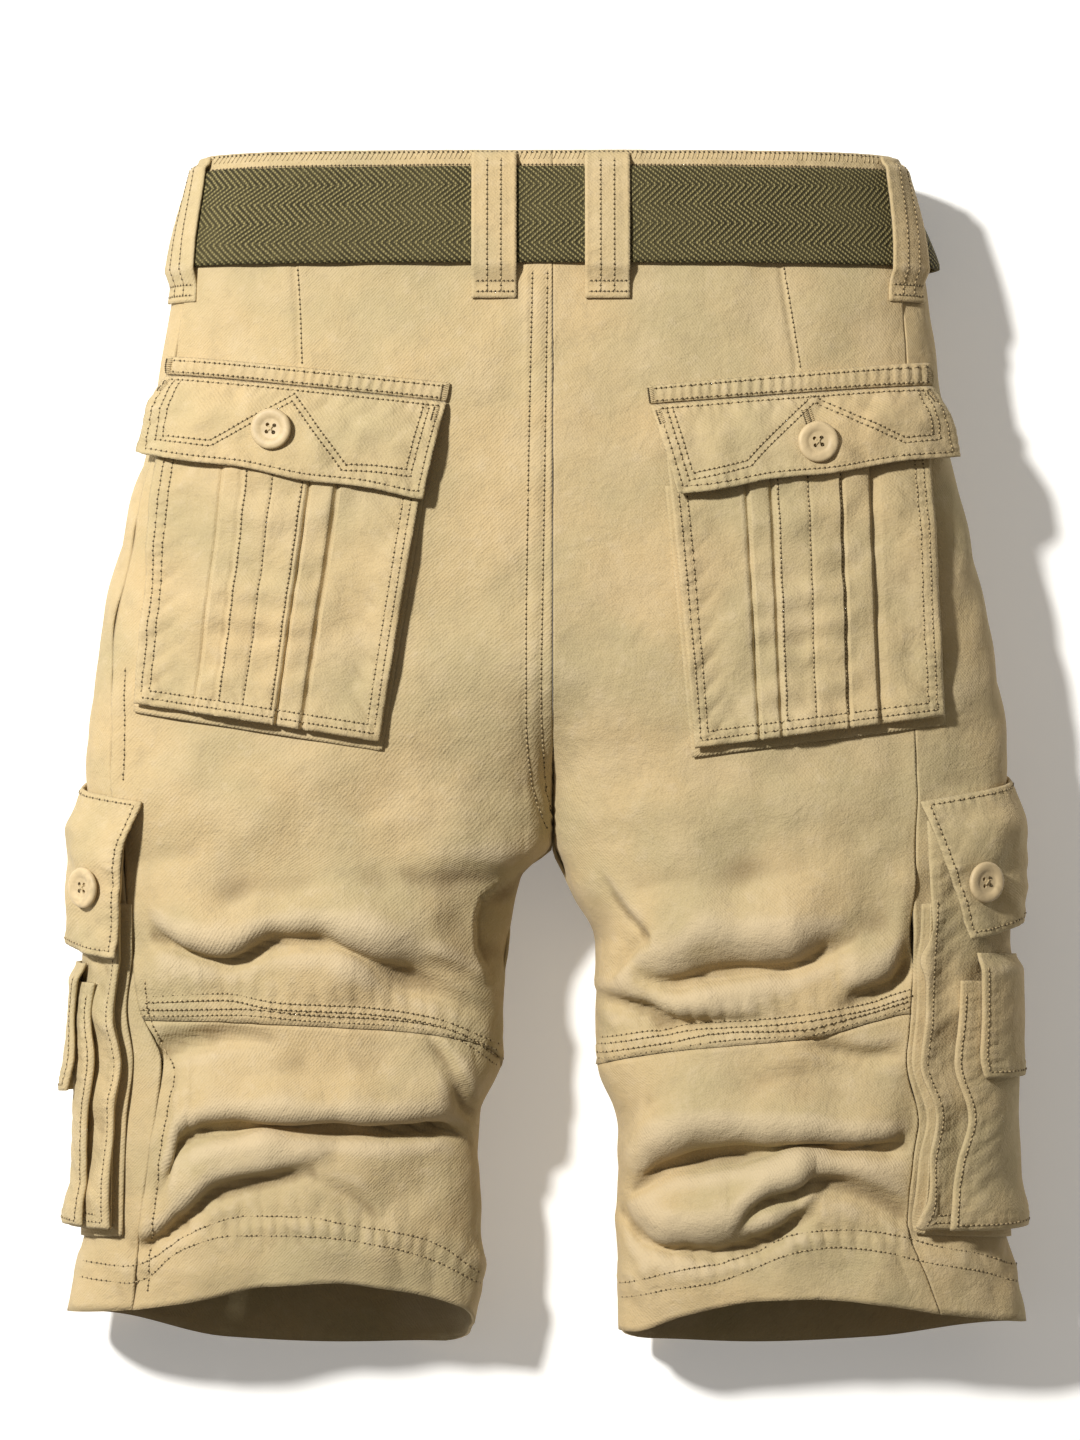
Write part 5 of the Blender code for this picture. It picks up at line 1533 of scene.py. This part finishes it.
class SHORTS_OT_pockets(bpy.types.Operator):
    """Sews on the pleated back pockets and the cargo pockets with their bellows and flaps"""

    bl_idname = "shorts.pockets"
    bl_label = "Pockets"

    def execute(self, context):
        thick = context.scene.shorts_sizes.pocket_thickness / MM
        for side in SECTIONS:
            for kind, depth, grid in (("back", 15, FACE_GRID), ("cargo", 17, PATCH_GRID)):
                patch = f"{kind}_pocket_{side}"
                width, height = patch_size(patch)
                girth = width + 2 * 0.8 * height
                strip = cloth(f"cloth_{kind}_gusset_{side}", segments(girth, 2.6), 16,
                              gusset_spot(kind, side), 0.8, (girth, 18))
                dress(strip, "pocket_twill", (f"{kind}_gusset_{side}",),
                      cut_of(girth, depth))
                steps = None
                if kind == "back":
                    steps = np.concatenate([np.linspace(0, 1, segments(width, grid[0])),
                                            np.array(PLEATS[side])[:, 0]])
                    steps = np.unique(steps.round(4))
                patch_cloth(f"{kind}_face_{side}", patch, face_spot(kind, side), thick, grid, steps)
                flap = f"{kind}_flap_{side}"
                patch_cloth(flap, flap, flap_spot(kind, side), thick, FLAP_GRID)
            for name, spot, wall, grid in (("back_welt", welt_spot, 1.4, WELT_GRID),
                                           ("small_pocket", small_pocket_spot, 1.3, PATCH_GRID),
                                           ("small_flap", small_flap_spot, 1.4, PATCH_GRID)):
                patch = f"{name}_{side}"
                patch_cloth(patch, patch, spot(side), wall, grid)
        return {"FINISHED"}


def band_relief(across, down):
    """The waistband's gathered top edge."""
    x, y = across * BAND_SIZE[0], down * BAND_SIZE[1]
    return (gathers(x, y - 3.5, 21, 0.35, 3.6, 3.0) - 1.0 * ease((0.05 - down) / 0.05)
            + ripples(x, y, 22, *BAND_RIPPLES))


def belt_relief(across, down):
    """The webbing's unevenness, and its rounded edges."""
    edge = np.minimum(down, 1 - down) * BELT_SIZE[1]
    return ripples(across * BELT_SIZE[0], down * 45, 23, *BELT_RIPPLES) - 0.6 * bell(edge, 1.4)


WAISTBAND_SPOT = ring_spot(BAND_PROUD, BAND_TOP, BAND_BOTTOM, band_relief)


class SHORTS_OT_waist(bpy.types.Operator):
    """Makes the waistband, the strip behind the fly, the webbing belt and its loops, and finishes
    the buckle
    """

    bl_idname = "shorts.waist"
    bl_label = "Waist and belt"

    def execute(self, context):
        band = cloth("cloth_waistband", 420, 16, WAISTBAND_SPOT, BAND_THICK, BAND_SIZE, ring=True)
        dress(band, "twill", ("waistband",), CUTS["waistband"])
        reach = BUCKLE_WIDTH / 2 + CLEAR
        ends = [under_around(side, CENTRE + sign * reach, BELT_TOP)
                for side, sign in (("right", 1), ("left", -1))]
        strap = cloth("belt_webbing", 390, 20, belt_half_spot(*ends), STRAP_THICK, BELT_SIZE)
        dress(strap, "webbing", ("belt",), CUTS["belt"])
        for name, *_ in LOOPS:
            loop = cloth(f"cloth_{name}", 14, 44, loop_spot(name), LOOP_THICK, (LOOP_WIDTH, 72))
            dress(loop, "twill", (name,), CUTS["loop"])

        def facing(across, down, lift=0.0):
            level = 229 - 148 * down
            around = around_of("under", "right", CENTRE + 1 + 39 * across, level)
            return moved_out("right", around, level, -TWILL - 2 * CLEAR + lift)

        strip = cloth("cloth_fly_facing", 16, 40, facing, TWILL, (39, 148))
        dress(strip, "twill", ("fly_facing",), CUTS["fly_facing"])
        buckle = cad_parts["buckle"].data.materials
        buckle.clear()
        buckle.append(finish_of("buckle"))
        return {"FINISHED"}


def belt_half_spot(start, stop):
    """The belt runs from one side of the buckle round the back to the other."""
    def spot(across, down, lift=0.0):
        level = BELT_TOP + (BELT_BOTTOM - BELT_TOP) * down
        out = BELT_OUTER + belt_relief(across, down) + lift
        at = across * (start + stop)
        turned = np.clip(start - at, 0, 2)
        bulge = BELT_BULGE * bell(turned - 1.15, 0.07) * ease((268 - level) / 40)
        right = moved_out("right", turned, level, out + bulge)
        left = moved_out("left", np.clip(at - start, 0, 2), level, out)
        return np.where((at <= start)[..., None], right, left)
    return spot


def round_bar(mesh, radius, depth, segments, place_in):
    """A short closed cylinder."""
    bmesh.ops.create_cone(mesh, cap_ends=True, segments=segments, radius1=radius, radius2=radius,
                          depth=depth, matrix=place_in)


class SHORTS_OT_buttons(bpy.types.Operator):
    """Turns the four buttons, drills their holes and sews them on"""

    bl_idname = "shorts.buttons"
    bl_label = "Buttons"

    def execute(self, context):
        thread = Sewing("button_thread")
        for name, patch, kind, across, down in BUTTONS:
            seat = float(flap_under(kind, across, down)) + FLAP_THICK + CLEAR + BUTTON_STALK
            centre = place(patch, across, down, seat)
            normal = unit(place(patch, across, down, seat + 1) - centre)
            along = place(patch, across + 0.02, down, seat) - centre
            along = unit(along - normal * (along @ normal))
            side = np.cross(normal, along)
            stand = Matrix.Scale(MM, 4) @ moved_frame([along, side, normal], centre)
            self.sew(thread, centre, along, side, normal)
            round_bar(thread.mesh, 1.9, BUTTON_STALK + 1.4, 10,
                      stand @ Matrix.Translation((0, 0, -BUTTON_STALK / 2)))
            self.turn(name, stand)
        thread.finish("pocket_twill")
        return {"FINISHED"}

    def sew(self, thread, centre, along, side, normal):
        """Crosses two threads through the holes."""
        def dish(x, y, lift):
            return centre + (np.outer(x, along) + np.outer(y, side)
                             + np.outer(np.full(np.shape(x), BUTTON_FLOOR + lift), normal))

        far = THREAD_REACH * (2 / STITCH_SHARE - 1)
        for turn in (1, -1):
            thread.row([(-THREAD_REACH, -turn * THREAD_REACH), (far, turn * far)], dish,
                       pitch=20.0, width=0.95)

    def turn(self, name, stand):
        """Spins the blank, drills it, and sets it on its stand."""
        holes, body = bmesh.new(), bmesh.new()
        for turn in (math.pi / 4 + i * math.pi / 2 for i in range(4)):
            spot = (HOLE_PLACE * math.cos(turn), HOLE_PLACE * math.sin(turn), 1.5)
            round_bar(holes, HOLE_RADIUS, 6, 12, Matrix.Translation(spot))
        cutter = made_piece("holes", holes)
        profile = [body.verts.new((radius, 0, height)) for radius, height in BUTTON_PROFILE]
        edges = [body.edges.new(pair) for pair in zip(profile[:-1], profile[1:])]
        bmesh.ops.spin(body, geom=profile + edges, cent=(0, 0, 0), axis=(0, 0, 1), dvec=(0, 0, 0),
                       angle=2 * math.pi, steps=48, use_merge=True, use_duplicate=False)
        bmesh.ops.remove_doubles(body, verts=body.verts, dist=0.001)
        bmesh.ops.recalc_face_normals(body, faces=body.faces)
        blank = made_piece("blank", body)
        cut = blank.modifiers.new("Holes", "BOOLEAN")
        cut.object, cut.operation, cut.solver = cutter, "DIFFERENCE", "EXACT"
        seen = blank.evaluated_get(bpy.context.evaluated_depsgraph_get())
        data = bpy.data.meshes.new_from_object(seen)
        for helper in (blank, cutter):
            bpy.data.objects.remove(helper)
        data.transform(stand)
        data.name = f"plastic_{name}"
        data.shade_smooth()
        data.set_sharp_from_angle(angle=math.radians(40))
        dress(made_piece(data.name, data), "button", (name,))


class SHORTS_OT_stitches(bpy.types.Operator):
    """Runs every row of stitches, on the panels, the pockets, the loops and the waistband"""

    bl_idname = "shorts.stitches"
    bl_label = "Stitches"

    def execute(self, context):
        self.panels()
        for side in SECTIONS:
            self.pockets(side)
        self.waist()
        return {"FINISHED"}

    def panels(self):
        lines = {row[0]: row for row in SEAMS}
        sewing = Sewing("stitches_panels")
        for seam, offset in PANEL_ROWS:
            side, points = lines[seam][1], lines[seam][-1]
            sewing.row(shifted(soft_line(points, 4.0), offset),
                       lambda x, y, lift, side=side: top_spot(side, x, y, lift))
        sewing.finish("twill")

    def waist(self):
        sewing = Sewing("stitches_waist")
        run = BAND_SIZE[0]

        def band(x, y, lift):
            return WAISTBAND_SPOT(np.clip(x / run, 0, 1), y / (BAND_TOP - BAND_BOTTOM), lift)

        sewing.row([(run * share, 3.2) for share in np.linspace(0.0, 1.0, 200)], band, pitch=2.9,
                   slant=-3.4)
        sewing.row([(0.0, 7.4), (run, 7.4)], band)
        for name, *_ in LOOPS:
            spot = loop_spot(name)

            def loop(x, y, lift, spot=spot):
                return spot(x / LOOP_WIDTH, y / LOOP_LENGTH, lift)

            for x in (7.3, LOOP_WIDTH - 7.3):
                sewing.row(dense([(x, 3), (x, 66)]), loop)
            for y in (61.0, 66.0):
                sewing.row(dense([(1.5, y), (LOOP_WIDTH - 1.5, y)]), loop, pitch=2.0)
        sewing.finish("twill")

    def pockets(self, side):
        sewing = Sewing(f"stitches_pockets_{side}")
        plans = (("back_pocket", face_spot("back", side), "back_face"),
                 ("back_flap", flap_spot("back", side), "flap"),
                 ("back_welt", welt_spot(side), "welt"),
                 ("cargo_pocket", face_spot("cargo", side), "cargo_face"),
                 ("cargo_flap", flap_spot("cargo", side), "flap"),
                 ("small_pocket", small_pocket_spot(side), "small"),
                 ("small_flap", small_flap_spot(side), "small"))
        on = {}
        for name, spot, rows in plans:
            patch = f"{name}_{side}"
            on[name] = on_patch(patch, spot)
            for row in PATCH_ROWS[rows]:
                sewing.row(dense(row_places(patch, row)), on[name])
        flap = on["back_flap"]
        width, height = patch_size(f"back_flap_{side}")
        peak = np.array(PEAKS[side]) * (width, height)
        for offset in (0.0, -PEAK_SPACING):
            sewing.row(dense(offset_line(peak, offset)), flap)
        if side == "right":
            self.buttonhole(sewing, flap, f"back_flap_{side}", width, height)
        welt_width, welt_height = patch_size(f"back_welt_{side}")
        for x in (1.6, welt_width - 1.6):
            sewing.row([(x, 0.8), (x, welt_height - 0.8)], on["back_welt"], pitch=0.8, width=0.6,
                       slant=2.2)
        for x in (3.2, width - 3.2):
            sewing.row([(x, 2.6), (x, 9.0)], flap, pitch=0.8, width=0.6, slant=2.4)
        width, height = patch_size(f"back_pocket_{side}")
        for share in PLEAT_ROWS[side]:
            sewing.row(dense([(share * width, 18), (share * width, height - 7.4)]),
                       on["back_pocket"])
        sewing.finish("pocket_twill")

    def buttonhole(self, sewing, flap, patch, width, height):
        """Two close rows of slanting stitches and the slit between them, above the button."""
        across, down = next(row[3:] for row in BUTTONS if row[1] == patch)
        for aside, pitch, slant in ((-1.25, 0.85, 1.9), (1.25, 0.85, 1.9), (0.0, 0.8, 0.0)):
            x, y = across * width + aside, down * height
            sewing.row(dense([(x, y - 16.5), (x, y - 5)]), flap, pitch=pitch, width=0.55,
                       slant=slant)


def offset_line(points, offset):
    """A bent line moved aside, with its corners kept sharp."""
    aside = left_of(unit(np.diff(points, axis=0)))
    moved = [points[0] + aside[0] * offset]
    for before, after, point in zip(aside[:-1], aside[1:], points[1:-1]):
        moved.append(point + (before + after) * offset / (1 + before @ after))
    return np.array(moved + [points[-1] + aside[-1] * offset])


class SHORTS_OT_stage(bpy.types.Operator):
    """Sets the pale surface, the soft light from the upper left and the camera straight above"""

    bl_idname = "shorts.stage"
    bl_label = "Stage"

    def execute(self, context):
        scene = context.scene
        mesh = bmesh.new()
        bmesh.ops.create_grid(mesh, x_segments=1, y_segments=1, size=3.0)
        floor = made_piece("pale_surface", mesh)
        floor.data.materials.append(Tree("pale_surface").finish(
            Base_Color=(0.93, 0.925, 0.91, 1), Emission_Color=(0.97, 0.98, 1.0, 1),
            Emission_Strength=FLOOR_GLOW, Roughness=0.9, Specular_IOR_Level=0.0))
        key = bpy.data.lights.new("key", "AREA")
        key.shape, key.size, key.energy, key.color = "DISK", KEY_SIZE, KEY_POWER, KEY_COLOUR
        fill = bpy.data.lights.new("fill", "SUN")
        fill.energy, fill.angle, fill.color = FILL_POWER, math.radians(FILL_SPREAD), ROOM_COLOUR
        for light, spot in ((key, KEY_PLACE), (fill, FILL_PLACE)):
            lamp = bpy.data.objects.new(light.name, light)
            lamp.location = spot
            lamp.rotation_mode = "QUATERNION"
            lamp.rotation_quaternion = (-Vector(spot)).to_track_quat("-Z", "Y")
            scene.collection.objects.link(lamp)
        scene.world = bpy.data.worlds.new("room")
        scene.world.use_nodes = True
        room = scene.world.node_tree.nodes["Background"].inputs
        room[0].default_value, room[1].default_value = (*ROOM_COLOUR, 1), ROOM_POWER
        lens = bpy.data.cameras.new("camera")
        lens.sensor_fit = "VERTICAL"
        lens.angle = 2 * math.atan(VIEW_HALF / VIEW_RUN)
        camera = bpy.data.objects.new("camera", lens)
        camera.location = CAMERA_PLACE
        scene.collection.objects.link(camera)
        scene.camera = camera
        scene.view_settings.view_transform = "Standard"
        scene.view_settings.look = "None"
        return {"FINISHED"}


class SHORTS_PT_panel(bpy.types.Panel):
    """Lists the sizes, the colours and the steps that build the shorts"""

    bl_label = "Cargo shorts"
    bl_space_type = "VIEW_3D"
    bl_region_type = "UI"
    bl_category = "Shorts"

    def draw(self, context):
        layout = self.layout
        for group in (context.scene.shorts_sizes, context.scene.shorts_colours):
            box = layout.box()
            for name in type(group).__annotations__:
                box.prop(group, name)
        for step in STEPS:
            layout.operator(step.bl_idname)


STEPS = (SHORTS_OT_panels, SHORTS_OT_pockets, SHORTS_OT_waist, SHORTS_OT_buttons,
         SHORTS_OT_stitches,
         SHORTS_OT_stage)
CLASSES = (ShortsSizes, ShortsColours) + STEPS + (SHORTS_PT_panel,)


def register():
    for item in CLASSES:
        bpy.utils.register_class(item)
    bpy.types.Scene.shorts_sizes = bpy.props.PointerProperty(type=ShortsSizes)
    bpy.types.Scene.shorts_colours = bpy.props.PointerProperty(type=ShortsColours)


def unregister():
    del bpy.types.Scene.shorts_colours
    del bpy.types.Scene.shorts_sizes
    for item in reversed(CLASSES):
        bpy.utils.unregister_class(item)


def main():
    register()
    bpy.ops.shorts.panels()
    bpy.ops.shorts.pockets()
    bpy.ops.shorts.waist()
    bpy.ops.shorts.buttons()
    bpy.ops.shorts.stitches()
    bpy.ops.shorts.stage()


if __name__ == "__main__":
    main()
